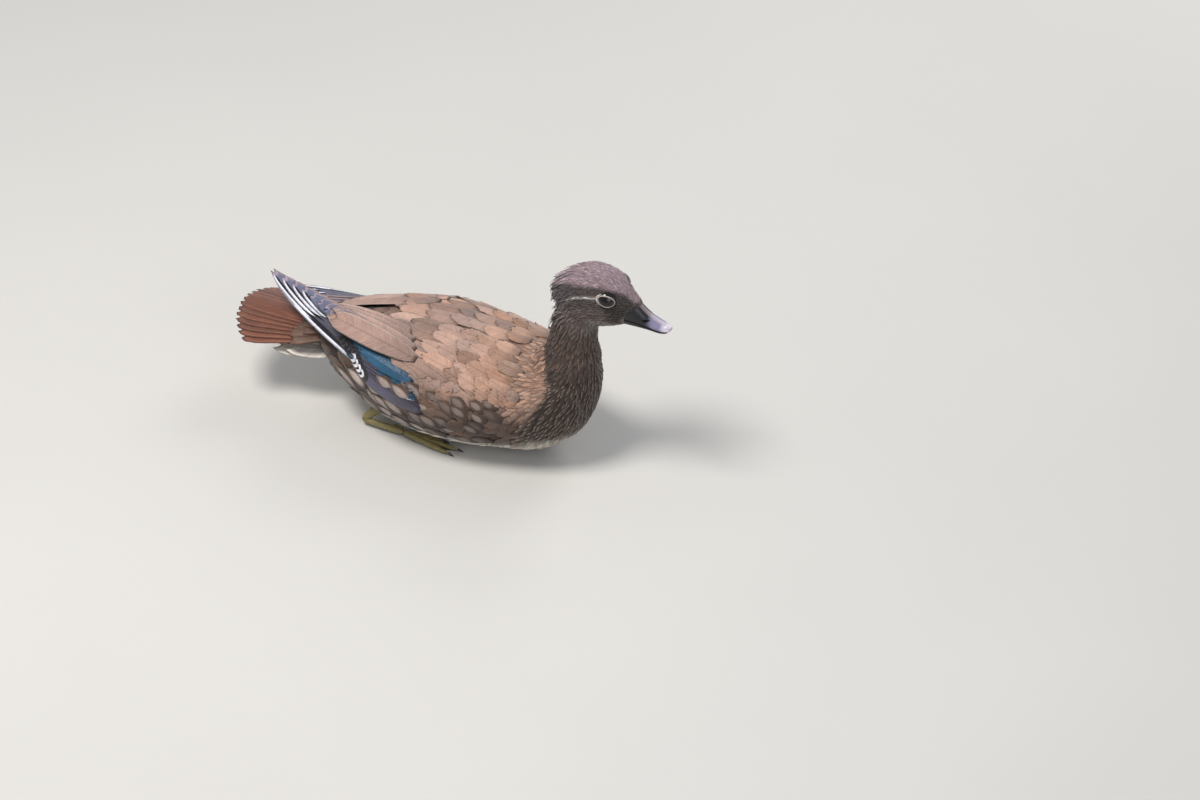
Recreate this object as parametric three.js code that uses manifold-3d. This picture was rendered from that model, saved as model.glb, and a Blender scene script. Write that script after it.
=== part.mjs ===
// A female mandarin duck at life size, resting on her belly as she floats, with her feet tucked under.
// Millimetres: +X towards the bill, +Y to the bird's left, +Z up. The belly's flat lies on z = 0.
import * as THREE from "three";
import { mergeVertices } from "three/addons/utils/BufferGeometryUtils.js";
import Module from "manifold-3d";

const wasm = await Module();
wasm.setup();

const GAP = 0.3; // clearance between neighbouring pieces
const FINEST = 0.04; // joins leave slivers, and edges finer than this are merged
const FLOOR = 0;
const SIDES = { left: 1, right: -1 };

// Smooth level-ended curve through [place, value] knots, which never overshoots them.
function curve(...knots) {
  const slopes = knots.slice(1).map(([x, y], i) => (y - knots[i][1]) / (x - knots[i][0]));
  const tangents = knots.map((knot, i) => {
    const before = slopes[Math.max(i - 1, 0)];
    const after = slopes[Math.min(i, slopes.length - 1)];
    return before * after > 0 ? (2 * before * after) / (before + after) : 0;
  });
  return (x) => {
    if (x <= knots[0][0]) return knots[0][1];
    const i = knots.findIndex((knot) => x <= knot[0]);
    if (i < 0) return knots[knots.length - 1][1];
    const [x0, y0] = knots[i - 1];
    const [x1, y1] = knots[i];
    const width = x1 - x0;
    const t = (x - x0) / width;
    return (
      y0 * (1 + 2 * t) * (1 - t) ** 2 +
      tangents[i - 1] * width * t * (1 - t) ** 2 +
      y1 * t * t * (3 - 2 * t) +
      tangents[i] * width * t * t * (t - 1)
    );
  };
}

// Sizes of the body along X: half width, the level of the widest line, and the levels of back and belly.
// A rounded end closes each form, so the curves stay open there. "blunt" is the power of that rounding.
const TORSO = {
  rear: -104,
  front: 110,
  blunt: 2.4,
  half: curve([-104, 31], [-85, 39], [-60, 46], [-30, 52], [5, 55], [50, 53], [110, 51]),
  wide: curve([-104, 53], [-60, 48], [0, 44], [60, 50], [110, 66]),
  top: curve([-104, 68], [-80, 74], [-60, 79], [-30, 81.5], [0, 82.5], [45, 81.5], [70, 85], [110, 98]),
  bottom: curve([-104, 25], [-80, 14], [-60, 7], [-30, 0], [0, -1.6], [45, -1.6], [70, -6], [110, -10]),
};
const HEAD = {
  rear: 76,
  front: 152,
  blunt: 2.3,
  half: curve([76, 12], [88, 16.6], [98, 17.8], [110, 18.2], [120, 17.4], [127, 15.2], [135, 10.6], [152, 8]),
  wide: curve([76, 136], [98, 137], [110, 137.5], [124, 137.5], [134, 133], [152, 130]),
  top: curve([76, 148], [87, 157], [98, 161.5], [109, 163], [121, 161.5], [130, 157], [137, 150.5], [152, 138]),
  bottom: curve([76, 119], [88, 112], [98, 111], [107, 113], [118, 116], [126, 118], [134, 119.8], [152, 121]),
};
const MOUTH_LINE = curve([130, 129.4], [143, 127.4], [150, 125.9], [158, 124.3], [166, 123.6]);
const BILL_UPPER = {
  rear: 100,
  front: 165.5,
  blunt: 2.6,
  half: curve([134, 8.3], [143, 7.3], [150, 7], [156, 7.6], [166, 8.6]),
  wide: (x) => MOUTH_LINE(x) + 1.1,
  top: curve([134, 147.5], [143, 138.7], [148, 134.4], [154, 130.9], [160, 128.8], [166, 127.4]),
  bottom: (x) => MOUTH_LINE(x) - 0.2,
  flat: 4,
};
const BILL_LOWER = {
  rear: 100,
  front: 163,
  blunt: 2.8,
  half: curve([130, 7.4], [143, 6.2], [150, 5.9], [156, 6.3], [164, 7]),
  wide: (x) => MOUTH_LINE(x) - 1.3,
  top: (x) => MOUTH_LINE(x) - 0.2 - GAP,
  bottom: curve([130, 121.6], [143, 121.6], [150, 121.4], [158, 120.6], [164, 119.6]),
  flatTop: 8,
};
const NECK = {
  x: curve([0, 78], [0.35, 87], [0.6, 91.5], [1, 95.5]),
  z: curve([0, 45], [0.35, 76], [0.6, 97], [1, 133]),
  deep: curve([0, 24], [0.35, 24], [0.6, 17.4], [0.8, 16.4], [1, 15]),
  half: curve([0, 36], [0.35, 26], [0.6, 18.8], [0.8, 16.8], [1, 14.5]),
};
const NECK_CUT = { low: [91, 84, -0.35], high: [92, 110.5, 0.1] }; // x, z and slope of each cut
const TAIL_CUT = -88;

const EYE = { x: 123.4, y: 15.4, z: 145.6, radius: 7, sunk: 4.9, turn: 0.34, tilt: 0.26 };
const LID = { thick: 0.7, long: 5.1, high: 4.2, slope: -0.18 }; // a dome over the eyeball with an oval opening
const NOSTRIL = { x: 148.2, y: 5.2, z: 130.6, long: 2.6, high: 1.1, deep: 1.5, turn: 0.42 };
const NAIL = { x: 161.4, z: 126.2, long: 4.6, wide: 3.1, high: 1.7 };

const vector = (x, y, z) => new THREE.Vector3(x, y, z);

// A closed three.js geometry as a solid, facing outwards, and back.
function solidOf(geometry) {
  const bare = new THREE.BufferGeometry().setAttribute("position", geometry.getAttribute("position"));
  if (geometry.index) bare.setIndex(geometry.index);
  const merged = mergeVertices(bare, 1e-4);
  const vertProperties = new Float32Array(merged.attributes.position.array);
  const corners = merged.index.array;
  const made = (flip) => {
    const faces = [];
    for (let i = 0; i < corners.length; i += 3) {
      const [a, b, c] = corners.subarray(i, i + 3);
      if (a !== b && b !== c && c !== a) faces.push(a, ...(flip ? [c, b] : [b, c]));
    }
    return new wasm.Manifold(new wasm.Mesh({ numProp: 3, vertProperties, triVerts: new Uint32Array(faces) }));
  };
  const solid = made(false);
  return solid.volume() > 0 ? solid : made(true);
}
function geometryOf(solid) {
  const mesh = largest(solid.asOriginal().simplify(FINEST)).getMesh();
  const geometry = new THREE.BufferGeometry();
  geometry.setAttribute("position", new THREE.BufferAttribute(new Float32Array(mesh.vertProperties), 3));
  geometry.setIndex(new THREE.BufferAttribute(new Uint32Array(mesh.triVerts), 1));
  return geometry;
}
function joined(solids) {
  return solids.reduce((sum, solid) => sum.add(solid));
}
function largest(solid) {
  return solid.decompose().reduce((best, piece) => (piece.volume() > best.volume() ? piece : best));
}

// The geometry with each vertex moved to where place(vertex) puts it.
function shaped(geometry, place) {
  const position = geometry.getAttribute("position");
  const vertex = new THREE.Vector3();
  for (let i = 0; i < position.count; i++) {
    vertex.fromBufferAttribute(position, i);
    const moved = place(vertex);
    position.setXYZ(i, moved.x, moved.y, moved.z);
  }
  return geometry;
}

// Signed power, for rounded-square sections.
const bow = (value, power) => Math.sign(value) * Math.abs(value) ** power;

// A point of a form at station x, in the ring direction (across, up), grown outwards by "out".
function formPoint(form, x, across, up, out = 0) {
  const middle = (form.rear + form.front) / 2;
  const reach = (form.front - form.rear) / 2;
  const t = Math.min(Math.abs(x - middle) / reach, 1);
  const close = (1 - t ** form.blunt) ** (1 / form.blunt);
  const wide = form.wide(x);
  const half = form.half(x) * close + out;
  const power = up < 0 ? 2 / (form.flat ?? 2) : 2 / (form.flatTop ?? 2);
  const height = up < 0 ? (wide - form.bottom(x)) * close + out : (form.top(x) - wide) * close + out;
  return vector(x, half * bow(across, power), wide + height * bow(up, power));
}

// The closed solid of a form, grown outwards by "out" on every side.
function formSolid(form, around, along, out = 0) {
  const middle = (form.rear + form.front) / 2;
  const reach = (form.front - form.rear) / 2;
  const ball = new THREE.SphereGeometry(1, around, along);
  return solidOf(
    shaped(ball, ({ x: up, y: t, z: across }) => {
      const ring = Math.hypot(across, up);
      const station = middle + reach * t;
      if (ring < 1e-6) return vector(middle + (reach + out) * t, 0, form.wide(station));
      const point = formPoint(form, station, across / ring, up / ring, out);
      point.x = middle + (reach + out) * t;
      return point;
    }),
  );
}

// Half of space on the side that the normal points to, as a very large block.
function halfSpace(point, normal) {
  const size = 600;
  const block = new THREE.BoxGeometry(size, size, size).translate(0, 0, size / 2);
  const turn = new THREE.Quaternion().setFromUnitVectors(vector(0, 0, 1), normal.clone().normalize());
  return solidOf(block.applyQuaternion(turn).translate(point.x, point.y, point.z));
}
function cutAbove([x, z, slope], shift = 0) {
  return halfSpace(vector(x, 0, z + shift), vector(-slope, 0, 1));
}
function cutBelow([x, z, slope], shift = 0) {
  return halfSpace(vector(x, 0, z + shift), vector(slope, 0, -1));
}

// Torso, neck and head are one flesh, parted by thin cuts.
function neckSolid() {
  const tube = new THREE.CylinderGeometry(1, 1, 1, 28, 12);
  return solidOf(
    shaped(tube, ({ x: up, y: t, z: across }) => {
      const s = 0.5 - t;
      const along = 1 - s;
      return vector(NECK.x(along) - NECK.deep(along) * up, NECK.half(along) * across, NECK.z(along));
    }),
  );
}

// The feathered edge at the bill: up and forward over the culmen, and straight down below the mouth's corner.
function behindBill(shift) {
  const outline = new THREE.Shape();
  outline.moveTo(40, 60);
  outline.lineTo(133.2, 60);
  outline.lineTo(133.2, 128.6);
  outline.lineTo(143.2, 138.6);
  outline.lineTo(150, 170);
  outline.lineTo(40, 170);
  const block = new THREE.ExtrudeGeometry(outline, { depth: 80, bevelEnabled: false });
  return solidOf(block.translate(shift, 0, -40).rotateX(Math.PI / 2));
}

function eyeCentre(side) {
  return vector(EYE.x, side * EYE.y, EYE.z).addScaledVector(eyeNormal(side), -EYE.sunk);
}
function eyeNormal(side) {
  return vector(EYE.turn, side, EYE.tilt).normalize();
}
function eyeball(side, radius, detail) {
  const centre = eyeCentre(side);
  return solidOf(new THREE.SphereGeometry(radius, detail, detail * 0.7).translate(centre.x, centre.y, centre.z));
}
function lidSolid(side) {
  const out = eyeNormal(side);
  const level = vector(1, 0, LID.slope);
  const forward = level.addScaledVector(out, -level.dot(out)).normalize();
  const centre = eyeCentre(side);
  const opening = new THREE.CylinderGeometry(1, 1, 20, 18).translate(0, 10, 0).scale(LID.long, 1, LID.high);
  opening.applyMatrix4(new THREE.Matrix4().makeBasis(forward, out, forward.clone().cross(out)));
  const dome = eyeball(side, EYE.radius + GAP + LID.thick, 16);
  return dome.subtract(solidOf(opening.translate(centre.x, centre.y, centre.z)));
}

// A feather vane or lock: a thin closed leaf along a curve, of even thickness, split alike on both faces.
// place(s) gives its middle, across(s) its sideways direction, out(s) the way its upper face looks.
const VANE_OUTLINE = curve([0, 0.55], [0.3, 0.95], [0.65, 1], [0.86, 0.8], [1, 0.22]);
const LOCK_OUTLINE = curve([0, 0.8], [0.4, 1], [1, 0.15]);
function vaneSolid({ place, across, out, width, thick = 0.8, steps = 4, camber = 0, outline = VANE_OUTLINE }) {
  const lanes = camber ? [-1, 0, 1] : [-1, 1];
  const positions = [];
  for (const face of [1, -1]) {
    for (let i = 0; i <= steps; i++) {
      const s = (i / steps) ** 0.85;
      const half = (width * outline(s)) / 2;
      for (const lane of lanes) {
        const lift = (face * thick) / 2 + camber * (1 - Math.abs(lane)) * outline(s);
        const point = place(s).addScaledVector(across(s), half * lane).addScaledVector(out(s), lift);
        positions.push(point.x, point.y, point.z);
      }
    }
  }
  const row = lanes.length;
  const sheet = row * (steps + 1);
  const faces = [];
  const quad = (a, b, c, d) => faces.push(a, b, c, a, c, d);
  for (let i = 0; i < steps; i++) {
    for (let j = 0; j < row - 1; j++) {
      const [a, b, c, d] = [i * row + j, i * row + j + 1, (i + 1) * row + j + 1, (i + 1) * row + j];
      quad(a, b, c, d);
      faces.push(sheet + a, sheet + c, sheet + b, sheet + a, sheet + d, sheet + c);
    }
    const [left, right] = [i * row, i * row + row - 1];
    quad(left, left + row, sheet + left + row, sheet + left);
    quad(right, sheet + right, sheet + right + row, right + row);
  }
  for (let j = 0; j < row - 1; j++) {
    const end = steps * row + j;
    quad(j, sheet + j, sheet + j + 1, j + 1);
    quad(end, end + 1, sheet + end + 1, sheet + end);
  }
  const geometry = new THREE.BufferGeometry();
  geometry.setAttribute("position", new THREE.Float32BufferAttribute(positions, 3));
  geometry.setIndex(faces);
  return solidOf(geometry);
}

// A free vane from root through a middle point to its tip, turning its face from one direction to another.
function freeVane(root, middle, tip, outRoot, outTip, options) {
  const line = new THREE.QuadraticBezierCurve3(root, middle, tip);
  const out = (s) => {
    const along = line.getTangent(s);
    const mixed = outRoot.clone().lerp(outTip, s);
    return mixed.addScaledVector(along, -mixed.dot(along)).normalize();
  };
  const across = (s) => out(s).cross(line.getTangent(s)).normalize();
  return vaneSolid({ place: (s) => line.getPoint(s), across, out, ...options });
}

// The folded wing lies on the torso: a shell that thickens away from its edges, with tiers of vanes on it.
const WING = {
  rear: -50,
  front: 77,
  low: curve([-50, 14], [-42, 2], [-28, 0], [10, 12], [45, 17], [68, 24], [77, 38]),
  high: curve([-50, 76], [30, 76], [60, 68], [77, 46]),
  swell: curve([-50, 0.9], [-10, 1], [25, 0.55], [77, 0.1]),
  edge: 1.3,
  thick: 4.6,
};
function wingPoint(side, x, degrees, lift) {
  const angle = THREE.MathUtils.degToRad(degrees);
  const point = formPoint(TORSO, x, side * Math.cos(angle), Math.sin(angle));
  return point.addScaledVector(wingNormal(side, x, degrees), lift);
}
function wingNormal(side, x, degrees) {
  const angle = THREE.MathUtils.degToRad(degrees);
  const step = 0.5;
  const at = (dx, da) => formPoint(TORSO, x + dx, side * Math.cos(angle + da), Math.sin(angle + da));
  const along = at(step, 0).sub(at(-step, 0));
  const round = at(0, 0.02).sub(at(0, -0.02));
  return along.cross(round).multiplyScalar(-side).normalize();
}
function shellThickness(x, degrees) {
  const share = THREE.MathUtils.clamp((degrees - WING.low(x)) / (WING.high(x) - WING.low(x)), 0, 1);
  return WING.edge + (WING.thick - WING.edge) * WING.swell(x) * Math.sin(Math.PI * share) ** 0.6;
}
function wingShell(side) {
  const block = new THREE.BoxGeometry(1, 1, 1, 16, 8, 1);
  const sunk = -2.5;
  const made = shaped(block, ({ x: u, y: v, z: w }) => {
    const x = THREE.MathUtils.lerp(WING.rear, WING.front, side * u + 0.5);
    const degrees = THREE.MathUtils.lerp(WING.low(x), WING.high(x), v + 0.5);
    return wingPoint(side, x, degrees, w > 0 ? shellThickness(x, degrees) : sunk);
  });
  return solidOf(made);
}

// A vane that lies on the wing's shell from one place to another, its tip lifted a little. Behind the shell's end
// it keeps the height that it had there.
const SHELL_VANE = { thick: 1.7, tipLift: 1.15, above: -0.35 };
function shellVane(side, from, to, width, steps = 3, above = SHELL_VANE.above) {
  const at = (s) => [THREE.MathUtils.lerp(from[0], to[0], s), THREE.MathUtils.lerp(from[1], to[1], s)];
  const { thick, tipLift } = SHELL_VANE;
  const place = (s) => {
    const [x, degrees] = at(s);
    const shell = shellThickness(Math.max(x, WING.rear + 4), degrees);
    return wingPoint(side, x, degrees, shell + tipLift * s + above - thick / 2);
  };
  const out = (s) => wingNormal(side, ...at(s));
  const across = (s) => {
    const along = place(Math.min(s + 0.05, 1)).sub(place(Math.max(s - 0.05, 0)));
    return out(s).cross(along).normalize();
  };
  return vaneSolid({ place, across, out, width, thick, steps });
}

// Tiers from the shoulder back: small coverts in front, long scapulars along the back. Their tips lean inwards.
const TIERS = [
  { degrees: 67, from: 50, to: -14, count: 5, length: [26, 44], width: [13, 18], lean: 4 },
  { degrees: 54, from: 58, to: -10, count: 5, length: [24, 42], width: [13, 18], lean: 6 },
  { degrees: 42, from: 60, to: 0, count: 5, length: [18, 36], width: [12, 17], lean: 7 },
  { degrees: 31, from: 62, to: 4, count: 5, length: [16, 32], width: [11, 15], lean: 6 },
  { degrees: 20, from: 54, to: 2, count: 5, length: [15, 28], width: [10, 13], lean: 4 },
];
const between = ([first, last], share) => THREE.MathUtils.lerp(first, last, share);
function coverts(side) {
  const vanes = [];
  TIERS.forEach(({ degrees, from, to, count, length, width, lean }, tier) => {
    for (let i = 0; i < count; i++) {
      const share = (i + (tier % 2) * 0.4) / (count - 0.5);
      const x = between([from, to], share);
      vanes.push(shellVane(side, [x, degrees], [x - between(length, share), degrees + lean], between(width, share)));
    }
  });
  return vanes;
}

// The long feathers of the folded wing. Their places are the near, right wing's, and the left wing's are mirrored,
// but for the wing tips: the right one is raised over the left one.
const WINGTIP = {
  right: { middle: [-86, -33, 65], tip: [-144, 6, 73], raised: 12 },
  left: { middle: [-86, -34, 60], tip: [-135, -12, 64], raised: 0 },
};
const PRIMARY = {
  root: [-16, -56.4, 50],
  step: 1.8,
  pitch: 0.6,
  shorter: [7, 0, 1, 11, 23, 36, 50],
  vane: { width: 14, thick: 0.85, steps: 5 },
};
// Stations and angles of the first and the last feather, at root and tip.
const SECONDARY = {
  count: 5,
  width: 12,
  above: -0.9,
  root: { x: [-4, -14], degrees: [9, 43] },
  tip: { x: [-47, -62], degrees: [11, 45] },
};
const TERTIAL = {
  count: 4,
  root: { x: [-12, -24], degrees: [34, 66], lift: 2.6 },
  tip: { x: [-78, -90], degrees: [36, 66], lift: 4.5 },
  bow: 2,
  vane: { width: 17, thick: 0.9, steps: 5, camber: 0.5 },
};
const mirrored = (side, [x, y, z]) => vector(x, -side * y, z);
const spot = ({ x, degrees }, share) => [between(x, share), between(degrees, share)];

function primaries(side, name) {
  const { middle, tip } = WINGTIP[name];
  const outRoot = mirrored(side, [-0.1, -0.97, 0.2]);
  const outTip = mirrored(side, [-0.15, -0.45, 0.88]);
  const start = mirrored(side, PRIMARY.root);
  const bend = mirrored(side, middle);
  const end = mirrored(side, tip);
  const inwardRoot = mirrored(side, [0, 0.6, 0.8]);
  const inwardTip = mirrored(side, [0.1, 0.86, 0.5]);
  return PRIMARY.shorter.map((shorter, i) => {
    const inward = PRIMARY.vane.width / 2 + PRIMARY.step * i;
    const rise = PRIMARY.pitch * i;
    const back = end.clone().sub(bend).normalize().multiplyScalar(-shorter);
    const place = (point, towards, out) => point.clone().addScaledVector(towards, inward).addScaledVector(out, rise);
    const root = place(start, inwardRoot, outRoot);
    const middle = place(bend, inwardTip, outTip);
    return freeVane(root, middle, place(end, inwardTip, outTip).add(back), outRoot, outTip, PRIMARY.vane);
  });
}
function secondaries(side) {
  return Array.from({ length: SECONDARY.count }, (_, i) => {
    const share = i / (SECONDARY.count - 1);
    const [from, to] = [spot(SECONDARY.root, share), spot(SECONDARY.tip, share)];
    return shellVane(side, from, to, SECONDARY.width, 4, SECONDARY.above);
  });
}
function tertials(side, name) {
  return Array.from({ length: TERTIAL.count }, (_, i) => {
    const share = i / (TERTIAL.count - 1);
    const [from, to] = [spot(TERTIAL.root, share), spot(TERTIAL.tip, share)];
    const [outRoot, outTip] = [wingNormal(side, ...from), wingNormal(side, ...to)];
    const root = wingPoint(side, ...from, TERTIAL.root.lift);
    const tip = wingPoint(side, ...to, TERTIAL.tip.lift);
    tip.z += WINGTIP[name].raised * (1 - 0.3 * share);
    const bend = root.clone().lerp(tip, 0.55).addScaledVector(outTip, TERTIAL.bow);
    return freeVane(root, bend, tip, outRoot, outTip, TERTIAL.vane);
  });
}
function wingSolid(side, name, clearTorso) {
  const shell = wingShell(side);
  const feathers = [...coverts(side), ...secondaries(side), ...tertials(side, name), ...primaries(side, name)];
  return largest(joined([shell, ...feathers]).subtract(clearTorso));
}

// Tail: a fan of rectrices, the middle pair highest, under and over two tiers of coverts. The outer feathers of
// the fan are shorter, and start and end lower.
const TAIL = { count: 13, spread: 23, root: -84, length: 76, width: 15, z: 54, fall: -2.5 };
const TAIL_SIDES = { shorter: 9, lower: 3.2, sag: 5 };
const TAIL_COVERTS = [
  { count: 5, spread: 27, root: -86, length: 36, width: 15, z: 57.5, fall: 7, arch: 3 },
  { count: 3, spread: 16, root: -84, length: 26, width: 15, z: 60, fall: 5, arch: 3 },
  { count: 4, spread: 21.3, root: -84, length: 48, width: 17, z: 44.5, fall: 2, arch: -4 },
  { count: 3, spread: 24, root: -82, length: 34, width: 17, z: 41.5, fall: 0, arch: -4 },
];
function tailVane(turn, { root, length, width, z, fall, arch = 0 }) {
  const angle = THREE.MathUtils.degToRad(turn);
  const start = vector(root, 6 * Math.sin(angle * 2), z);
  const tip = start.clone().add(vector(-Math.cos(angle), Math.sin(angle), 0).multiplyScalar(length));
  tip.z -= fall;
  const bend = start.clone().lerp(tip, 0.5).add(vector(0, 0, arch));
  const out = vector(0, Math.sin(angle) * 0.6, 1).normalize();
  return freeVane(start, bend, tip, out, out, { width, thick: 0.85, steps: 4 });
}
function rectrices() {
  const { shorter, lower, sag } = TAIL_SIDES;
  return Array.from({ length: TAIL.count }, (_, i) => {
    const share = (2 * i) / (TAIL.count - 1) - 1;
    const side = Math.abs(share);
    const length = TAIL.length - shorter * side ** 2 - 2 * (i % 2);
    return tailVane(TAIL.spread * share, { ...TAIL, length, z: TAIL.z - lower * side, fall: TAIL.fall + sag * side ** 2 });
  });
}
function tailCoverts() {
  return TAIL_COVERTS.flatMap((row) =>
    Array.from({ length: row.count }, (_, i) => {
      const share = (2 * i) / (row.count - 1) - 1;
      const length = row.length - 5 * Math.abs(share);
      return tailVane(row.spread * share, { ...row, length, z: row.z - 3 * share ** 2 });
    }),
  );
}

// Feet tucked under the belly: a shank that leaves the belly, bends at the heel and lies forward, three webbed
// toes, and a short hind toe. Everything that touches the floor is cut flat there.
const FOOT = {
  thigh: [-43, 27, 17],
  heel: [-54, 30, 5.2],
  knuckle: [-24, 31, 2.8],
  toeLevel: 1.6,
  webThick: 1,
  toes: [
    { name: "inner", turn: -6, length: 28 },
    { name: "middle", turn: 2, length: 41 },
    { name: "outer", turn: 12, length: 38 },
  ],
  hind: { from: [-26, 28.5, 3], to: [-34, 25, 2.6] },
  // Radii at shares of the limb's length.
  shankRadii: [[0, 3.6], [0.4, 3], [0.7, 2.4], [1, 2.9]],
  toeRadii: [[0, 2.4], [0.5, 2.1], [1, 1.8]],
  hindRadii: [[0, 1.6], [1, 1.2]],
};
const CLAW = { radius: 1.25, long: 4.6, bend: 0.045, ahead: 1.8, rise: 0.3 };
function limb(points, radii, around, steps) {
  const line = new THREE.CatmullRomCurve3(points);
  const thick = curve(...radii);
  const tube = new THREE.CapsuleGeometry(1, 1, 3, around, steps);
  return solidOf(
    shaped(tube, ({ x, y, z }) => {
      const share = THREE.MathUtils.clamp(y + 0.5, 0, 1);
      const past = y - THREE.MathUtils.clamp(y, -0.5, 0.5);
      const along = line.getTangent(share);
      const level = vector(0, 1, 0).addScaledVector(along, -along.y).normalize();
      const up = level.clone().cross(along);
      const radius = thick(share);
      const point = line.getPoint(share).addScaledVector(level, radius * x);
      return point.addScaledVector(up, -radius * z).addScaledVector(along, radius * past);
    }),
  );
}
function toeEnd(side, { turn, length }) {
  const angle = THREE.MathUtils.degToRad(turn);
  const [x, y] = FOOT.knuckle;
  return vector(x + length * Math.cos(angle), side * (y + length * Math.sin(angle)), FOOT.toeLevel);
}
function footSolid(side, clearTorso) {
  const at = ([x, y, z]) => vector(x, side * y, z);
  const knuckle = at(FOOT.knuckle);
  const ends = FOOT.toes.map((toe) => toeEnd(side, toe));
  const pieces = [
    limb([at(FOOT.thigh), at(FOOT.heel), knuckle], FOOT.shankRadii, 8, 9),
    limb([at(FOOT.hind.from), at(FOOT.hind.to)], FOOT.hindRadii, 6, 2),
    ...ends.map((end) => limb([knuckle, knuckle.clone().lerp(end, 0.5), end], FOOT.toeRadii, 7, 3)),
  ];
  for (let i = 0; i < ends.length - 1; i++) {
    const web = new THREE.Shape();
    web.moveTo(knuckle.x, knuckle.y);
    web.lineTo(ends[i].x - 1, ends[i].y);
    const hollow = ends[i].clone().lerp(ends[i + 1], 0.5).lerp(knuckle, 0.14);
    web.quadraticCurveTo(hollow.x, hollow.y, ends[i + 1].x - 1, ends[i + 1].y);
    const plate = new THREE.ExtrudeGeometry(web, { depth: FOOT.webThick, bevelEnabled: false, curveSegments: 5 });
    pieces.push(solidOf(plate.translate(0, 0, FLOOR)));
  }
  const above = halfSpace(vector(0, 0, FLOOR), vector(0, 0, 1));
  return largest(joined(pieces).intersect(above).subtract(clearTorso));
}
function clawSolid(side, toe) {
  const end = toeEnd(side, toe);
  const forward = end.clone().sub(vector(...FOOT.knuckle).multiply(vector(1, side, 1))).setZ(0).normalize();
  const root = end.clone().addScaledVector(forward, CLAW.ahead + GAP);
  const claw = new THREE.ConeGeometry(CLAW.radius, CLAW.long, 7, 2).translate(0, CLAW.long / 2, 0);
  const bent = shaped(claw.rotateZ(-Math.PI / 2), ({ x, y, z }) => vector(x, y, z - CLAW.bend * x * x));
  const turned = bent.rotateZ(Math.atan2(forward.y, forward.x));
  return solidOf(turned.translate(root.x, root.y, FOOT.toeLevel + CLAW.rise));
}

// Nape: a short hanging crest of flat locks that taper and overlap. A lock's root, bend and tip stand back from
// the head's middle line by "reach", less at the sides, and lower in the second tier.
const CREST = {
  count: 7,
  fan: 62,
  tiers: 2,
  stops: [
    { x: 98, z: 150, reach: 10, less: 0, lower: 9 },
    { x: 96, z: 140, reach: 26, less: 6, lower: 8 },
    { x: 96, z: 120, reach: 23.5, less: 5.5, lower: 6 },
  ],
  lock: { width: 7, thick: 1.1, steps: 3, outline: LOCK_OUTLINE },
};
function crestLocks() {
  const locks = [];
  for (let tier = 0; tier < CREST.tiers; tier++) {
    const count = CREST.count - tier;
    for (let i = 0; i < count; i++) {
      const angle = THREE.MathUtils.degToRad(CREST.fan * ((2 * i) / (count - 1) - 1));
      const back = vector(-Math.cos(angle), Math.sin(angle), 0);
      const out = back.clone().setZ(0.25).normalize();
      const [root, bend, tip] = CREST.stops.map(({ x, z, reach, less, lower }) =>
        vector(x, 0, z - lower * tier).addScaledVector(back, reach - less * Math.abs(back.y)),
      );
      locks.push(freeVane(root, bend, tip, out, out, CREST.lock));
    }
  }
  return locks;
}

function headSolid(whole) {
  const cut = whole.intersect(cutAbove(NECK_CUT.high, GAP / 2)).intersect(behindBill(0));
  const dressed = joined([cut, lidSolid(1), lidSolid(-1), ...crestLocks()]);
  return largest(dressed.subtract(eyeball(1, EYE.radius + GAP, 16)).subtract(eyeball(-1, EYE.radius + GAP, 16)));
}
function upperBill() {
  const bill = formSolid(BILL_UPPER, 16, 24);
  const nail = new THREE.SphereGeometry(1, 12, 8).scale(NAIL.long, NAIL.wide, NAIL.high);
  const pits = [1, -1].map((side) => {
    const pit = new THREE.SphereGeometry(1, 10, 8).scale(NOSTRIL.long, NOSTRIL.deep, NOSTRIL.high);
    return solidOf(pit.rotateY(NOSTRIL.turn).translate(NOSTRIL.x, side * NOSTRIL.y, NOSTRIL.z));
  });
  const nailed = bill.add(solidOf(nail.translate(NAIL.x, 0, NAIL.z)));
  return largest(nailed.subtract(joined(pits)).subtract(behindBill(GAP * Math.SQRT2)));
}
function lowerBill(upper) {
  return largest(formSolid(BILL_LOWER, 14, 20).subtract(behindBill(GAP)).subtract(upper));
}

const COLOURS = {
  crown: "#8d7b7c",
  brown: "#9a7358",
  breast: "#5a4a40",
  rust: "#7d4a30",
  bill: "#4a4752",
  eye: "#120c0a",
  foot: "#7a7345",
  claw: "#2c2622",
};
const duck = new THREE.Group();
duck.name = "mandarin_duck";
function add(name, solid, colour, roughness = 0.85) {
  const material = new THREE.MeshStandardMaterial({ color: colour, roughness, metalness: 0 });
  const mesh = new THREE.Mesh(geometryOf(solid), material);
  mesh.name = name;
  duck.add(mesh);
}

const tailRoot = halfSpace(vector(TAIL_CUT - GAP / 2, 0, 0), vector(-1, 0, 0));
const aheadOfTail = halfSpace(vector(TAIL_CUT + GAP / 2, 0, 0), vector(1, 0, 0));
const aboveFloor = halfSpace(vector(0, 0, FLOOR), vector(0, 0, 1));
const torsoForm = formSolid(TORSO, 36, 28);
const clearTorso = formSolid(TORSO, 36, 28, GAP);
const whole = joined([torsoForm, neckSolid(), formSolid(HEAD, 28, 20)]);
const body = whole.intersect(cutBelow(NECK_CUT.low, -GAP / 2)).intersect(aheadOfTail).intersect(aboveFloor);
const neck = whole.intersect(cutAbove(NECK_CUT.low, GAP / 2)).intersect(cutBelow(NECK_CUT.high, -GAP / 2));

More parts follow.
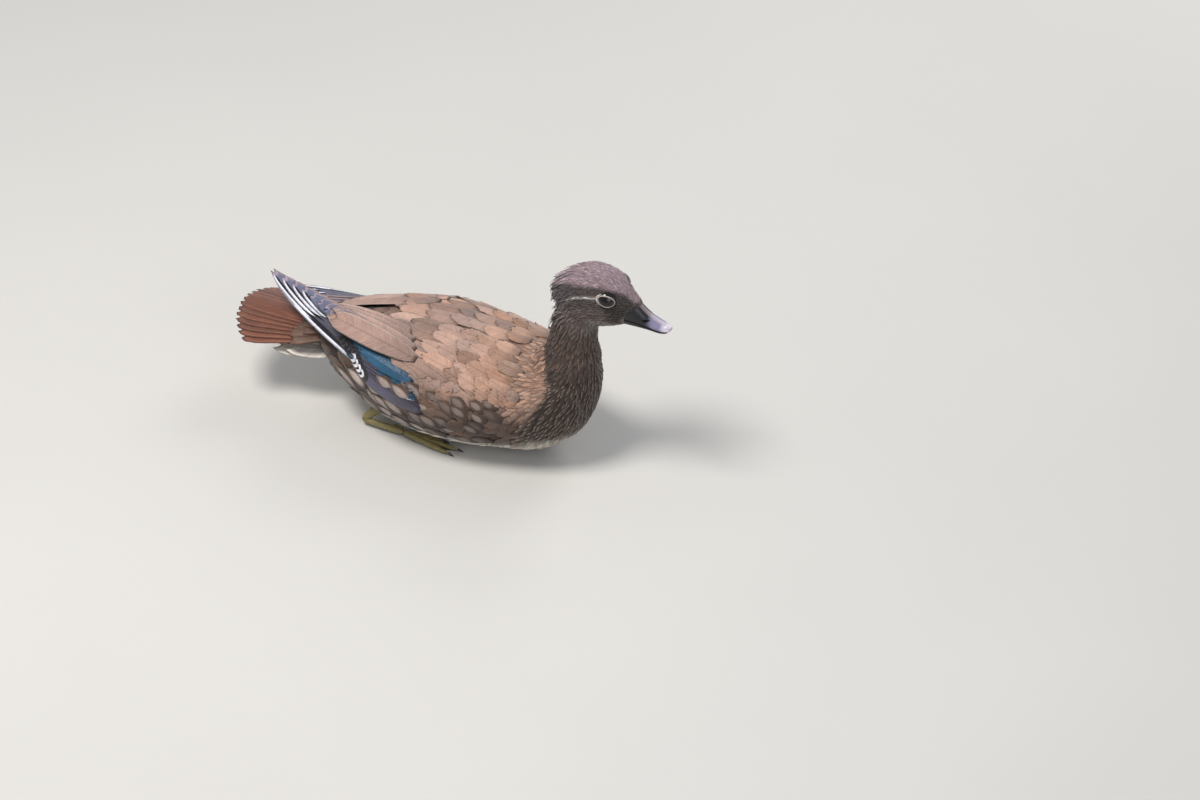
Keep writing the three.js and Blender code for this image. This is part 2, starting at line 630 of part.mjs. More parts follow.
add("torso", largest(body), COLOURS.brown);
add("neck", largest(neck), COLOURS.breast);
add("head", headSolid(whole), COLOURS.crown);
const upper = upperBill();
add("bill_upper", upper, COLOURS.bill, 0.45);
add("bill_lower", lowerBill(upper), COLOURS.bill, 0.45);
add("tail", largest(joined([torsoForm, ...rectrices(), ...tailCoverts()]).intersect(tailRoot)), COLOURS.rust);
for (const [name, side] of Object.entries(SIDES)) {
  add(`eye_${name}`, eyeball(side, EYE.radius, 16), COLOURS.eye, 0.1);
  add(`wing_${name}`, wingSolid(side, name, clearTorso), COLOURS.brown);
  add(`foot_${name}`, footSolid(side, clearTorso), COLOURS.foot, 0.6);
  for (const toe of FOOT.toes) add(`claw_${name}_${toe.name}`, clawSolid(side, toe), COLOURS.claw, 0.4);
}

export default duck;
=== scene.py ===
"""A female mandarin duck at life size, resting on her belly: one skin, its feathers, wings, tail, bill, eyes, feet.

Places and sizes are millimetres in the bird's own frame, +X to the bill, +Y to her left and +Z up. They become
metres where a mesh is made. Angles on the body are degrees up from its widest line, over the back.
"""
import logging
import math
from dataclasses import dataclass, field
from enum import Enum
from functools import reduce
from typing import Callable, ClassVar, Iterator, Sequence

import bpy
import numpy as np
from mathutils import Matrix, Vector
from mathutils.bvhtree import BVHTree
from mathutils.kdtree import KDTree


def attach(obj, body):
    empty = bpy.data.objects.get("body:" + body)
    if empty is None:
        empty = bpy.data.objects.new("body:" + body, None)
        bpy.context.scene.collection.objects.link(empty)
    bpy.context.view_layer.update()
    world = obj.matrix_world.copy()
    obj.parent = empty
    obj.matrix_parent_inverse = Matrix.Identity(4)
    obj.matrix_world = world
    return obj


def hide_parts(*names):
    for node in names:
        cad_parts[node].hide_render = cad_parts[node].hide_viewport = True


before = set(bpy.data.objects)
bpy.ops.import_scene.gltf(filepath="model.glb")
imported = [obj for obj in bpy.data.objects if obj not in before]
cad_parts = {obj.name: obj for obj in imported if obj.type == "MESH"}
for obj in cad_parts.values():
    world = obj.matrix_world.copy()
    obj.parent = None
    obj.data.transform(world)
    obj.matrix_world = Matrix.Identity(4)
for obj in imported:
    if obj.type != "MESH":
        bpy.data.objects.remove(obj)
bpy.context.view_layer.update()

log = logging.getLogger("duck")
MM = 0.001
SIDES = {"left": 1.0, "right": -1.0}
# The height over which the head begins falls this much for each millimetre ahead of the nape.
HEAD_SLOPE, NAPE_X = 0.35, 100
# Lengths this small are taken for none.
TINY = 1e-9
POLE = 1e-5


def smooth(value: np.ndarray, low: float, high: float) -> np.ndarray:
    """A soft step.

    Args:
        value: numbers to test.
        low: where the step starts, at 0.
        high: where it ends, at 1.

    Returns:
        The share of the step that each value has climbed.
    """
    t = np.clip((np.asarray(value, float) - low) / (high - low), 0.0, 1.0)
    return t * t * (3.0 - 2.0 * t)


def unit(vectors: np.ndarray) -> np.ndarray:
    """The vectors at length 1."""
    return vectors / np.maximum(np.linalg.norm(vectors, axis=-1, keepdims=True), TINY)


def dot(a: np.ndarray, b: np.ndarray) -> np.ndarray:
    """The product of each pair of vectors, kept as a last axis of length 1."""
    return (a * b).sum(-1, keepdims=True)


def head_height(x: np.ndarray, z: np.ndarray) -> np.ndarray:
    """The height of a place, raised ahead of the nape, by which head and neck are told apart."""
    return z + HEAD_SLOPE * (x - NAPE_X)


def colour(red: int, green: int, blue: int) -> np.ndarray:
    """A screen colour as light.

    Args:
        red: its red, 0 to 255.
        green: its green.
        blue: its blue.

    Returns:
        Three numbers, linear.
    """
    share = np.array([red, green, blue], float) / 255.0
    return np.where(share <= 0.04045, share / 12.92, ((share + 0.055) / 1.055) ** 2.4)


def one_tint(shade: np.ndarray, count: int) -> np.ndarray:
    """The same colour for each of some feathers, every one marked."""
    return np.tile((*shade, 1.0), (count, 1))


class Curve:
    """A smooth curve through (place, value) knots, which never overshoots them."""

    def __init__(self, *knots: tuple[float, float]) -> None:
        """Keeps the knots and works out the slope at each.

        Args:
            knots: pairs of place and value, the places rising.
        """
        self.x = np.array([knot[0] for knot in knots], float)
        self.y = np.array([knot[1] for knot in knots], float)
        slopes = np.diff(self.y) / np.diff(self.x)
        before = np.concatenate([slopes[:1], slopes])
        after = np.concatenate([slopes, slopes[-1:]])
        same = before * after > 0
        total = np.where(same, before + after, 1.0)
        self.tangent = np.where(same, 2 * before * after / total, 0.0)

    def __call__(self, place: np.ndarray | float) -> np.ndarray:
        """The curve's height, level beyond the first and last knot.

        Args:
            place: one place or many.

        Returns:
            The value at each place.
        """
        x = np.clip(np.asarray(place, float), self.x[0], self.x[-1])
        i = np.clip(np.searchsorted(self.x, x) - 1, 0, len(self.x) - 2)
        width = self.x[i + 1] - self.x[i]
        t = (x - self.x[i]) / width
        rise = self.y[i] * (1 + 2 * t) * (1 - t) ** 2 + self.y[i + 1] * t * t * (3 - 2 * t)
        return rise + width * t * (1 - t) * (self.tangent[i] * (1 - t) - self.tangent[i + 1] * t)


@dataclass(frozen=True)
class Form:
    """A rounded body along X: its half width, its widest level and the levels of its top and bottom."""

    rear: float
    front: float
    blunt: float
    half: Callable[[np.ndarray], np.ndarray]
    wide: Callable[[np.ndarray], np.ndarray]
    top: Callable[[np.ndarray], np.ndarray]
    bottom: Callable[[np.ndarray], np.ndarray]
    flat: float = 2.0

    def point(self, x: np.ndarray, across: np.ndarray, up: np.ndarray, out: np.ndarray | float = 0.0) -> np.ndarray:
        """Points of the form's surface.

        Args:
            x: stations along the body.
            across: share of the ring's direction to the bird's left.
            up: share of the ring's direction that is up.
            out: how far to grow the form.

        Returns:
            One point for each station.
        """
        middle = (self.rear + self.front) / 2
        reach = (self.front - self.rear) / 2
        t = np.minimum(np.abs(x - middle) / reach, 1.0)
        close = (1 - t**self.blunt) ** (1 / self.blunt)
        wide = self.wide(x)
        half = self.half(x) * close + out
        height = np.where(up < 0, wide - self.bottom(x), self.top(x) - wide) * close + out
        power = np.where(up < 0, 2.0 / self.flat, 1.0)
        side = np.sign(across) * np.abs(across) ** power
        rise = np.sign(up) * np.abs(up) ** power
        return np.stack([x, half * side, wide + height * rise], -1)


TORSO = Form(
    rear=-104, front=110, blunt=2.4,
    half=Curve((-104, 31), (-85, 39), (-60, 46), (-30, 52), (5, 55), (50, 53), (110, 51)),
    wide=Curve((-104, 53), (-60, 48), (0, 44), (60, 50), (110, 66)),
    top=Curve((-104, 68), (-80, 74), (-60, 79), (-30, 81.5), (0, 82.5), (45, 81.5), (70, 85), (110, 98)),
    bottom=Curve((-104, 25), (-80, 14), (-60, 7), (-30, 0), (0, -1.6), (45, -1.6), (70, -6), (110, -10)),
)
HEAD = Form(
    rear=76, front=152, blunt=2.3,
    half=Curve((76, 12), (88, 16.6), (98, 17.8), (110, 18.2), (120, 17.4), (127, 15.2), (135, 10.6), (152, 8)),
    wide=Curve((76, 136), (98, 137), (110, 137.5), (124, 137.5), (134, 133), (152, 130)),
    top=Curve((76, 148), (87, 157), (98, 161.5), (109, 163), (121, 161.5), (130, 157), (137, 150.5), (152, 138)),
    bottom=Curve((76, 119), (88, 112), (98, 111), (107, 113), (118, 116), (126, 118), (134, 119.8), (152, 121)),
)
MOUTH_LINE = Curve((130, 129.4), (143, 127.4), (150, 125.9), (158, 124.3), (166, 123.6))
BILL_UPPER = Form(
    rear=100, front=165.5, blunt=2.6, flat=4.0,
    half=Curve((134, 8.3), (143, 7.3), (150, 7), (156, 7.6), (166, 8.6)),
    wide=lambda x: MOUTH_LINE(x) + 1.1,
    top=Curve((134, 147.5), (143, 138.7), (148, 134.4), (154, 130.9), (160, 128.8), (166, 127.4)),
    bottom=lambda x: MOUTH_LINE(x) - 0.2,
)
BILL_LOWER = Form(
    rear=100, front=163, blunt=2.8,
    half=Curve((130, 7.4), (143, 6.2), (150, 5.9), (156, 6.3), (164, 7)),
    wide=lambda x: MOUTH_LINE(x) - 1.3,
    top=lambda x: MOUTH_LINE(x) - 0.5,
    bottom=Curve((130, 121.6), (143, 121.6), (150, 121.4), (158, 120.6), (164, 119.6)),
)
NECK_X = Curve((0, 78), (0.35, 87), (0.6, 91.5), (1, 95.5))
NECK_Z = Curve((0, 45), (0.35, 76), (0.6, 97), (1, 133))
NECK_DEEP = Curve((0, 24), (0.35, 24), (0.6, 17.4), (0.8, 16.4), (1, 15))
NECK_HALF = Curve((0, 36), (0.35, 26), (0.6, 18.8), (0.8, 16.8), (1, 14.5))
# The feathered edge at the bill: its X at each height, up the mouth's corner and forward over the ridge.
BILL_EDGE = Curve((100, 133.2), (128.6, 133.25), (138.6, 143.2), (165, 149))
# Where the dark breast meets the warm brown mantle: its X at each height.
BREAST_EDGE = Curve((14, 66), (41, 74), (57, 80), (66, 85), (75, 83), (88, 77), (100, 68))
# The white line behind the eye: its height at each X.
EYE_LINE = Curve((86, 131), (92.6, 137.5), (99, 141.6), (108, 144.8), (118, 146.4))
FLESH_DEPTH = {"torso": 1.7, "neck": 1.1, "head": 0.8}


@dataclass(frozen=True)
class WingArm:
    """The folded arm under the coverts, which swells the body's side."""

    rear: float = -50.0
    front: float = 77.0
    low: Curve = Curve((-50, 14), (-42, 2), (-28, 0), (10, 12), (45, 17), (68, 24), (77, 38))
    high: Curve = Curve((-50, 76), (30, 76), (60, 68), (77, 46))
    swell: Curve = Curve((-58, 0), (-50, 0.9), (-10, 1), (25, 0.55), (77, 0.1), (80, 0))
    thick: float = 4.0
    full: float = 0.7

    def rise(self, x: np.ndarray, degrees: np.ndarray) -> np.ndarray:
        """How far the arm stands out of the body.

        Args:
            x: stations along the body.
            degrees: angles up from the widest line.

        Returns:
            Millimetres for each place.
        """
        share = np.clip((degrees - self.low(x)) / (self.high(x) - self.low(x)), 0, 1)
        return self.thick * self.swell(x) * np.sin(math.pi * share) ** self.full


ARM = WingArm()


def body_point(side: float, x: np.ndarray, degrees: np.ndarray, out: float = 0.0) -> np.ndarray:
    """Points on the flesh of the body's side, the wing's arm included.

    Args:
        side: 1 for her left, -1 for her right.
        x: stations along the body.
        degrees: angles up from the widest line.
        out: how far outside the flesh.

    Returns:
        One point for each station.
    """
    x, degrees = np.broadcast_arrays(np.asarray(x, float), np.asarray(degrees, float))
    angle = np.radians(degrees)
    grow = ARM.rise(x, degrees) - FLESH_DEPTH["torso"] + out
    return TORSO.point(x, side * np.cos(angle), np.sin(angle), grow)


def select_only(*objects: bpy.types.Object) -> None:
    """Selects these objects alone, the last one active."""
    bpy.ops.object.select_all(action="DESELECT")
    for obj in objects:
        obj.select_set(True)
        bpy.context.view_layer.objects.active = obj


def points_of(obj: bpy.types.Object) -> np.ndarray:
    """The object's vertices in millimetres."""
    flat = np.empty(len(obj.data.vertices) * 3, np.float32)
    obj.data.vertices.foreach_get("co", flat)
    return flat.reshape(-1, 3).astype(float) / MM


def move_points(obj: bpy.types.Object, points: np.ndarray) -> None:
    """Puts the object's vertices at these places, given in millimetres."""
    obj.data.vertices.foreach_set("co", (points * MM).astype(np.float32).ravel())
    obj.data.update()


def face_outward() -> None:
    """Turns the faces of the selected mesh to the outside."""
    bpy.ops.object.mode_set(mode="EDIT")
    bpy.ops.mesh.select_all(action="SELECT")
    bpy.ops.mesh.normals_make_consistent(inside=False)
    bpy.ops.object.mode_set(mode="OBJECT")


def modify(obj: bpy.types.Object, kind: str, **settings: object) -> None:
    """Changes a mesh by a modifier.

    Args:
        obj: the object.
        kind: the modifier's type.
        settings: its options.
    """
    select_only(obj)
    modifier = obj.modifiers.new(kind.lower(), kind)
    for name, value in settings.items():
        setattr(modifier, name, value)
    bpy.ops.object.modifier_apply(modifier=modifier.name)


def shaped_ball(
    name: str, segments: int, rings: int, place: Callable[[np.ndarray, np.ndarray, np.ndarray], np.ndarray]
) -> bpy.types.Object:
    """A sphere primitive with each vertex moved to its place on a form.

    Args:
        name: the new object's name.
        segments: faces round each ring.
        rings: rings from end to end.
        place: gives points in millimetres from the run along the axis (-1 to 1) and the ring's two directions.

    Returns:
        The object, at the origin.
    """
    bpy.ops.object.select_all(action="DESELECT")
    bpy.ops.mesh.primitive_uv_sphere_add(segments=segments, ring_count=rings, radius=1.0)
    obj = bpy.context.object
    obj.name = obj.data.name = name
    x, y, z = (points_of(obj) * MM).T
    ring = np.maximum(np.hypot(x, y), 1e-6)
    move_points(obj, place(z, y / ring, x / ring))
    face_outward()
    return obj


def form_ball(name: str, form: Form, segments: int, rings: int, out: float | Callable = 0.0) -> bpy.types.Object:
    """The closed mesh of a form.

    Args:
        name: the new object's name.
        form: its shape.
        segments: faces round each ring.
        rings: rings from end to end.
        out: how far it is grown, in millimetres or by a function of station and ring direction.

    Returns:
        The object, at the origin.
    """

    def place(t: np.ndarray, across: np.ndarray, up: np.ndarray) -> np.ndarray:
        """A point of the form, with both ends drawn to the axis."""
        x = (form.rear + form.front) / 2 + (form.front - form.rear) / 2 * t
        grow = out(x, across, up) if callable(out) else out
        at_end = np.abs(t) > 1 - POLE
        return form.point(x, np.where(at_end, 0.0, across), np.where(at_end, 0.0, up), np.where(at_end, 0.0, grow))

    return shaped_ball(name, segments, rings, place)


def sheet_quads(sheet: np.ndarray, step: int = 1) -> np.ndarray:
    """The faces of a sheet.

    Args:
        sheet: the numbers of its points, in rows and columns.
        step: -1 to turn every face over.

    Returns:
        Four corners to a row.
    """
    corners = [sheet[:-1, :-1], sheet[1:, :-1], sheet[1:, 1:], sheet[:-1, 1:]]
    return np.stack(corners[::step], -1).reshape(-1, 4)


def joined_quads(name: str, points: np.ndarray, quads: np.ndarray) -> bpy.types.Object:
    """One mesh of four-cornered faces.

    Args:
        name: the new object's name.
        points: its points in millimetres, one to a row.
        quads: the four corners of each face.

    Returns:
        The object, in the scene.
    """
    mesh = bpy.data.meshes.new(name)
    mesh.vertices.add(len(points))
    mesh.vertices.foreach_set("co", (points * MM).astype(np.float32).ravel())
    mesh.loops.add(quads.size)
    mesh.loops.foreach_set("vertex_index", quads.astype(np.int32).ravel())
    mesh.polygons.add(len(quads))
    mesh.polygons.foreach_set("loop_start", np.arange(0, quads.size, 4, dtype=np.int32))
    mesh.update(calc_edges=True)
    mesh.polygons.foreach_set("use_smooth", np.ones(len(quads), bool))
    obj = bpy.data.objects.new(name, mesh)
    bpy.context.scene.collection.objects.link(obj)
    return obj


def set_attribute(obj: bpy.types.Object, name: str, values: np.ndarray) -> None:
    """Writes a value for each vertex: a colour where there are four numbers, else a vector.

    Args:
        obj: the object.
        name: the attribute's name.
        values: three or four numbers to a row.
    """
    kind, slot_name = ("FLOAT_COLOR", "color") if values.shape[1] == 4 else ("FLOAT_VECTOR", "vector")
    attribute = obj.data.attributes.new(name, kind, "POINT")
    attribute.data.foreach_set(slot_name, values.astype(np.float32).ravel())


def set_uv(obj: bpy.types.Object, name: str, values: np.ndarray) -> None:
    """Writes a UV map.

    Args:
        obj: the object.
        name: the map's name.
        values: one pair of numbers for each vertex.
    """
    corners = np.empty(len(obj.data.loops), np.int32)
    obj.data.loops.foreach_get("vertex_index", corners)
    obj.data.uv_layers.new(name=name).data.foreach_set("uv", values[corners].astype(np.float32).ravel())


class Surface:
    """The skin as feathers find it: nearest points, soft normals, the lie of the coat and the skin's unwrap."""

    # The bird's middle line, from the bill over the head and down the neck to the tail.
    knots = np.array(
        [
            (150, 0, 130), (130, 0, 138), (112, 0, 141), (99, 0, 132), (93, 0, 108), (86, 0, 80),
            (62, 0, 56), (20, 0, 47), (-30, 0, 48), (-80, 0, 52), (-140, 0, 55),
        ],
        float,
    )
    steps = 90
    reach = 17.0
    batches = 16
    margin = 0.02

    def __init__(self, skin: bpy.types.Object) -> None:
        """Reads the skin's mesh and lays the middle line through the body.

        Args:
            skin: the finished skin.
        """
        self.points = points_of(skin)
        mesh = skin.data
        self.polygons = [tuple(polygon.vertices) for polygon in mesh.polygons]
        normals = np.empty(len(mesh.vertices) * 3, np.float32)
        mesh.vertices.foreach_get("normal", normals)
        normals = normals.reshape(-1, 3).astype(float)
        self.soft = np.array([normals[list(polygon)].mean(0) for polygon in self.polygons])
        self.tree = BVHTree.FromPolygons([tuple(point) for point in self.points], self.polygons)
        step = np.concatenate([[0], np.cumsum(np.linalg.norm(np.diff(self.knots, axis=0), axis=1))])
        run = np.linspace(0, step[-1], self.steps)
        curves = [Curve(*zip(step, self.knots[:, axis])) for axis in range(3)]
        self.middle = np.stack([curve(run) for curve in curves], -1)
        self.along = unit(np.gradient(self.middle, axis=0))
        self.run = run / run[-1]

    def nearest(self, points: np.ndarray) -> tuple[np.ndarray, np.ndarray]:
        """The skin nearest to each place.

        Args:
            points: places in millimetres, one to a row.

        Returns:
            The nearest points, and the skin's soft normals there.
        """
        found = [self.tree.find_nearest(point) for point in points.tolist()]
        place = np.array([hit[0] for hit in found], float)
        normal = self.soft[[hit[2] for hit in found]]
        return place, unit(normal)

    def weights(self, points: np.ndarray) -> np.ndarray:
        """How much each step of the middle line counts at each place.

        Args:
            points: places in millimetres, one to a row.

        Returns:
            Shares that add up to 1 in each row.
        """
        away = np.linalg.norm(points[:, None, :] - self.middle[None], axis=-1)
        near = np.exp(-(((away - away.min(1, keepdims=True)) / self.reach) ** 2))
        return near / near.sum(1, keepdims=True)

    def lie(self, points: np.ndarray, normals: np.ndarray) -> np.ndarray:
        """The direction in which feathers lie at each place, along the skin.

        Args:
            points: places in millimetres, one to a row.
            normals: the skin's normals there.

        Returns:
            One unit vector for each place.
        """
        parts = np.array_split(points, self.batches)
        flow = np.concatenate([self.weights(part) @ self.along for part in parts])
        return unit(flow - normals * dot(flow, normals))

    def unwrap(self, points: np.ndarray) -> np.ndarray:
        """The skin unrolled.

        Args:
            points: places in millimetres, one to a row.

        Returns:
            For each place the run along the body and the turn round it, both from 0 to 1.
        """
        pairs = []
        for part in np.array_split(points, self.batches):
            weight = self.weights(part)
            middle, along = weight @ self.middle, unit(weight @ self.along)
            spoke = part - middle
            up = unit(np.cross(along, np.array([0.0, 1.0, 0.0])))
            turn = np.arctan2(spoke[:, 1], (spoke * up).sum(1)) / (2 * math.pi) + 0.5
            pairs.append(np.stack([weight @ self.run, turn], -1))
        return np.concatenate(pairs) * (1 - 2 * self.margin) + self.margin


@dataclass(frozen=True)
class Skin:
    """The one skin of torso, neck, head and wing arms, lying inside the feathers by the coat's depth."""

    voxel: float = 1.25
    torso_faces: tuple[int, int] = (96, 96)
    head_faces: tuple[int, int] = (64, 48)
    soften: float = 0.5
    soften_rounds: int = 10
    bill_gap: float = 0.4
    floor_gap: float = 0.4
    neck_blunt: int = 6

    def build(self) -> bpy.types.Object:
        """Joins the forms, closes them to one surface and softens it.

        Returns:
            The skin, one closed mesh.
        """
        torso = form_ball("skin", TORSO, *self.torso_faces, self._torso_depth)
        head = form_ball("head_form", HEAD, *self.head_faces, -FLESH_DEPTH["head"])
        points = points_of(head)
        points[:, 0] = np.minimum(points[:, 0], BILL_EDGE(points[:, 2]) - self.bill_gap)
        move_points(head, points)
        neck = shaped_ball("neck_form", *self.head_faces, self._neck_place)
        select_only(head, neck, torso)
        bpy.ops.object.join()
        skin = bpy.context.object
        modify(skin, "REMESH", mode="VOXEL", voxel_size=self.voxel * MM, use_smooth_shade=True)
        modify(skin, "SMOOTH", factor=self.soften, iterations=self.soften_rounds)
        points = points_of(skin)
        points[:, 2] = np.maximum(points[:, 2], self.floor_gap)
        move_points(skin, points)
        return skin

    @staticmethod
    def _torso_depth(x: np.ndarray, across: np.ndarray, up: np.ndarray) -> np.ndarray:
        """How far the flesh lies outside the torso's form: the arm's rise, less the coat's depth."""
        degrees = np.degrees(np.arctan2(up, np.abs(across)))
        return ARM.rise(x, degrees) - FLESH_DEPTH["torso"]

    def _neck_place(self, t: np.ndarray, across: np.ndarray, up: np.ndarray) -> np.ndarray:
        """The neck's tube, with rounded ends that are hidden in the body and the head.

        Args:
            t: run along the neck, from -1 at the body to 1 at the head.
            across: share of the ring's direction to the bird's left.
            up: share of the ring's direction that is to the rear.

        Returns:
            One point for each place.
        """
        share = (t + 1) / 2
        ring = np.sqrt(np.maximum(1 - t**self.neck_blunt, 0.0))
        deep = (NECK_DEEP(share) - FLESH_DEPTH["neck"]) * ring
        half = (NECK_HALF(share) - FLESH_DEPTH["neck"]) * ring
        return np.stack([NECK_X(share) - deep * up, half * across, NECK_Z(share)], -1)


class Plumage:
    """The bird's markings, with some painted shade and sheen: a colour for every place on her, shared by the skin
    and the coat.
    """

    # The crown's grey, lighter and pinker by a painted sky reflection on the top of the head.
    crown = colour(158, 136, 142)
    band = colour(70, 57, 55)
    cheek = colour(98, 82, 77)
    lores = colour(58, 48, 43)
    chin = colour(150, 138, 130)
    white = colour(226, 220, 212)
    # The neck's own dark grey-brown, made darker still as painted shade.
    neck = colour(80, 64, 55)
    # Painted shade: the neck's rear and sides darker, as where they turn away from the light.
    neck_rear_shaded = colour(66, 53, 46)
    # The breast's own dark brown, made darker still as painted shade.
    breast = colour(66, 52, 44)
    mantle = colour(156, 123, 104)
    back = colour(150, 121, 107)
    flank = colour(88, 69, 58)
    covert = colour(118, 92, 76)
    belly = colour(222, 214, 202)
    # The rump's dark brown, made darker still as painted shade from the wings over it.
    rump = colour(64, 51, 42)

    def body(self, x: np.ndarray, z: np.ndarray) -> np.ndarray:
        """The torso's colours, from belly to back, with painted shade on the rump."""
        shade = self._mix(self.belly, self.flank, smooth(z, 12, 24))
        shade = self._mix(shade, self.covert, smooth(z, 40, 52))
        shade = self._mix(shade, self.back, smooth(z + 0.12 * x, 53, 66))
        shade = self._mix(shade, self.mantle, smooth(z, 52, 66) * smooth(x, 28, 52))
        # Painted shade: the rump under the wings' ends is darkened.
        return self._mix(shade, self.rump, smooth(-x, 52, 70) * smooth(z, 40, 52))

    def head(self, x: np.ndarray, y: np.ndarray, z: np.ndarray) -> np.ndarray:
        """The head's colours: crown, dark band, lores, cheek, chin and the pale line behind the eye."""
        brow = Curve((76, 139), (90, 147), (104, 151), (118, 152.4), (128, 150), (140, 141))(x)
        under = Curve((80, 126), (96, 132), (110, 136), (120, 137), (132, 131))(x)
        shade = self._mix(self.cheek, self.band, smooth(z - under, -3.5, 2.5))
        # Above the brow the crown's colour, with its painted sky reflection.
        shade = self._mix(shade, self.crown, smooth(z - brow, -1.2, 2.2))
        near_bill = smooth(x, 119, 127) * (1 - smooth(z - brow, -2, 1.5)) * smooth(z, 124, 130)
        shade = self._mix(shade, self.lores, near_bill)
        throat = (1 - smooth(z - under, -14, -7)) * smooth(x, 100, 112)
        shade = self._mix(shade, self.chin, throat)
        edge = 1 - smooth(BILL_EDGE(z) - x, 0.6, 2.4)
        shade = self._mix(shade, self.chin, 0.8 * edge)
        line = np.exp(-(((z - EYE_LINE(x)) / 0.8) ** 2)) * smooth(x, 88, 97) * (1 - smooth(x, 116.5, 119))
        return self._mix(shade, self.white, 0.6 * line * smooth(np.abs(y), 8, 11))

    def tint(self, points: np.ndarray) -> np.ndarray:
        """The linear colour at each place.

        Args:
            points: places in millimetres, one to a row.

        Returns:
            Four numbers a row, the last one 1.
        """
        x, y, z = points.T
        shade = self.body(x, z)
        front = smooth(x - BREAST_EDGE(z), -1.5, 1.5)
        breast = self._mix(self.belly, self.breast, smooth(z, 16, 30))
        shade = self._mix(shade, breast, front)
        # The neck darkens towards its rear, as painted shade.
        neck = self._mix(self.neck_rear_shaded, self.neck, smooth(x, 78, 100))
        shade = self._mix(shade, neck, smooth(z, 74, 92) * front)
        shade = self._mix(shade, self.head(x, y, z), smooth(head_height(x, z), 108, 116) * smooth(x, 60, 70))
        return np.concatenate([np.clip(shade, 0, 1), np.ones((len(points), 1))], 1)

    @staticmethod
    def _mix(low: np.ndarray, high: np.ndarray, share: np.ndarray) -> np.ndarray:
        """A blend of two colours, one share for each place."""
        share = np.asarray(share)[..., None]
        return low * (1 - share) + high * share


class Pattern(Enum):
    """What a vane's own markings are."""

    PLAIN = "plain"
    SPOT = "spot"
    STREAK = "streak"
    PRIMARY = "primary"
    SPECULUM = "speculum"
    TERTIAL = "tertial"
    TAIL = "tail"


class Nodes:
    """A material's node tree, made one node at a time."""

    # The colour sockets of a mix node, by number: its names repeat for other kinds of value.
    mix_low, mix_high, mix_result = 6, 7, 2

    def __init__(self, name: str, roughness: float) -> None:
        """Starts a material with one principled shader."""
        self.material = bpy.data.materials.new(name)
        self.material.use_nodes = True
        self.tree = self.material.node_tree
        self.shader = self.tree.nodes["Principled BSDF"]
        self.set(Roughness=roughness)

    def set(self, **values: float) -> None:
        """Sets constants on the shader, by socket name with _ for each space."""
        for name, value in values.items():
            self.shader.inputs[name.replace("_", " ")].default_value = value

    def add(self, kind: str, inputs: dict[int | str, object] | None = None, **settings: object) -> bpy.types.Node:
        """A new node.

        Args:
            kind: the node's type.
            inputs: values or outputs for its sockets, by number or name.
            settings: the node's own options.

        Returns:
            The node.
        """
        node = self.tree.nodes.new(kind)
        for name, value in settings.items():
            setattr(node, name, value)
        for socket, value in (inputs or {}).items():
            self.feed(node.inputs[socket], value)
        return node

    def feed(self, socket: bpy.types.NodeSocket, value: object) -> None:
        """Links an output to a socket, or sets the socket's own value."""
        if isinstance(value, bpy.types.NodeSocket):
            self.tree.links.new(value, socket)
        elif isinstance(value, np.ndarray) and socket.type == "RGBA":
            socket.default_value = (*value[:3], 1.0)
        else:
            socket.default_value = value

    def math(self, operation: str, *values: object) -> bpy.types.NodeSocket:
        """The result of one sum of up to three values."""
        return self.add("ShaderNodeMath", dict(enumerate(values)), operation=operation).outputs[0]

    def plus(self, *terms: object) -> bpy.types.NodeSocket:
        """The terms added up, from the first one on."""
        return reduce(lambda a, b: self.math("ADD", a, b), terms)

    def times(self, *factors: object) -> bpy.types.NodeSocket:
        """The factors multiplied, from the first one on."""
        return reduce(lambda a, b: self.math("MULTIPLY", a, b), factors)

    def step(self, value: object, low: float, high: float) -> bpy.types.NodeSocket:
        """A soft step from 0 to 1.

        Args:
            value: what is tested.
            low: where the step is 0, also if that is above high.
            high: where it is 1.

        Returns:
            The step's share.
        """
        ends = {"To Min": 1.0, "To Max": 0.0} if low > high else {}
        inputs = {"Value": value, "From Min": min(low, high), "From Max": max(low, high), **ends}
        return self.add("ShaderNodeMapRange", inputs, interpolation_type="SMOOTHSTEP").outputs[0]

    def mix(self, share: object, low: object, high: object) -> bpy.types.NodeSocket:
        """A blend of two colours."""
        inputs = {"Factor": share, self.mix_low: low, self.mix_high: high}
        return self.add("ShaderNodeMix", data_type="RGBA", inputs=inputs).outputs[self.mix_result]

    def scaled(self, shade: object, gain: object) -> bpy.types.NodeSocket:
        """A colour made brighter or darker."""
        return self.add("ShaderNodeVectorMath", {0: shade, "Scale": gain}, operation="SCALE").outputs[0]

    def noise(self, vector: object, scale: float, detail: float = 3.0) -> bpy.types.NodeSocket:
        """Noise from 0 to 1 at so many waves a metre, or a unit of the vector."""
        inputs = {"Vector": vector, "Scale": scale, "Detail": detail}
        return self.add("ShaderNodeTexNoise", inputs).outputs["Fac"]

    def place(self) -> bpy.types.NodeSocket:
        """The piece's own coordinates, in metres."""
        return self.add("ShaderNodeTexCoord").outputs["Object"]

    def finish(self, shade: object, height: object | None = None, depth: float = 0.0) -> bpy.types.Material:
        """Links what the shader shows.

        Args:
            shade: the colour.
            height: the bump's height from 0 to 1, or none.
            depth: how many metres a height of 1 is.

        Returns:
            The finished material.
        """
        self.feed(self.shader.inputs["Base Color"], shade)
        if height is not None:
            bump = self.add("ShaderNodeBump", {"Height": height, "Strength": 1.0, "Distance": depth})
            self.tree.links.new(bump.outputs[0], self.shader.inputs["Normal"])
        return self.material


@dataclass(frozen=True)
class VaneMap:
    """Where a place is on its vane, as sockets: tint, mark, across (-1 to 1), off the shaft, run and chance."""

    tint: bpy.types.NodeSocket
    mark: bpy.types.NodeSocket
    across: bpy.types.NodeSocket
    off: bpy.types.NodeSocket
    run: bpy.types.NodeSocket
    wander: bpy.types.NodeSocket


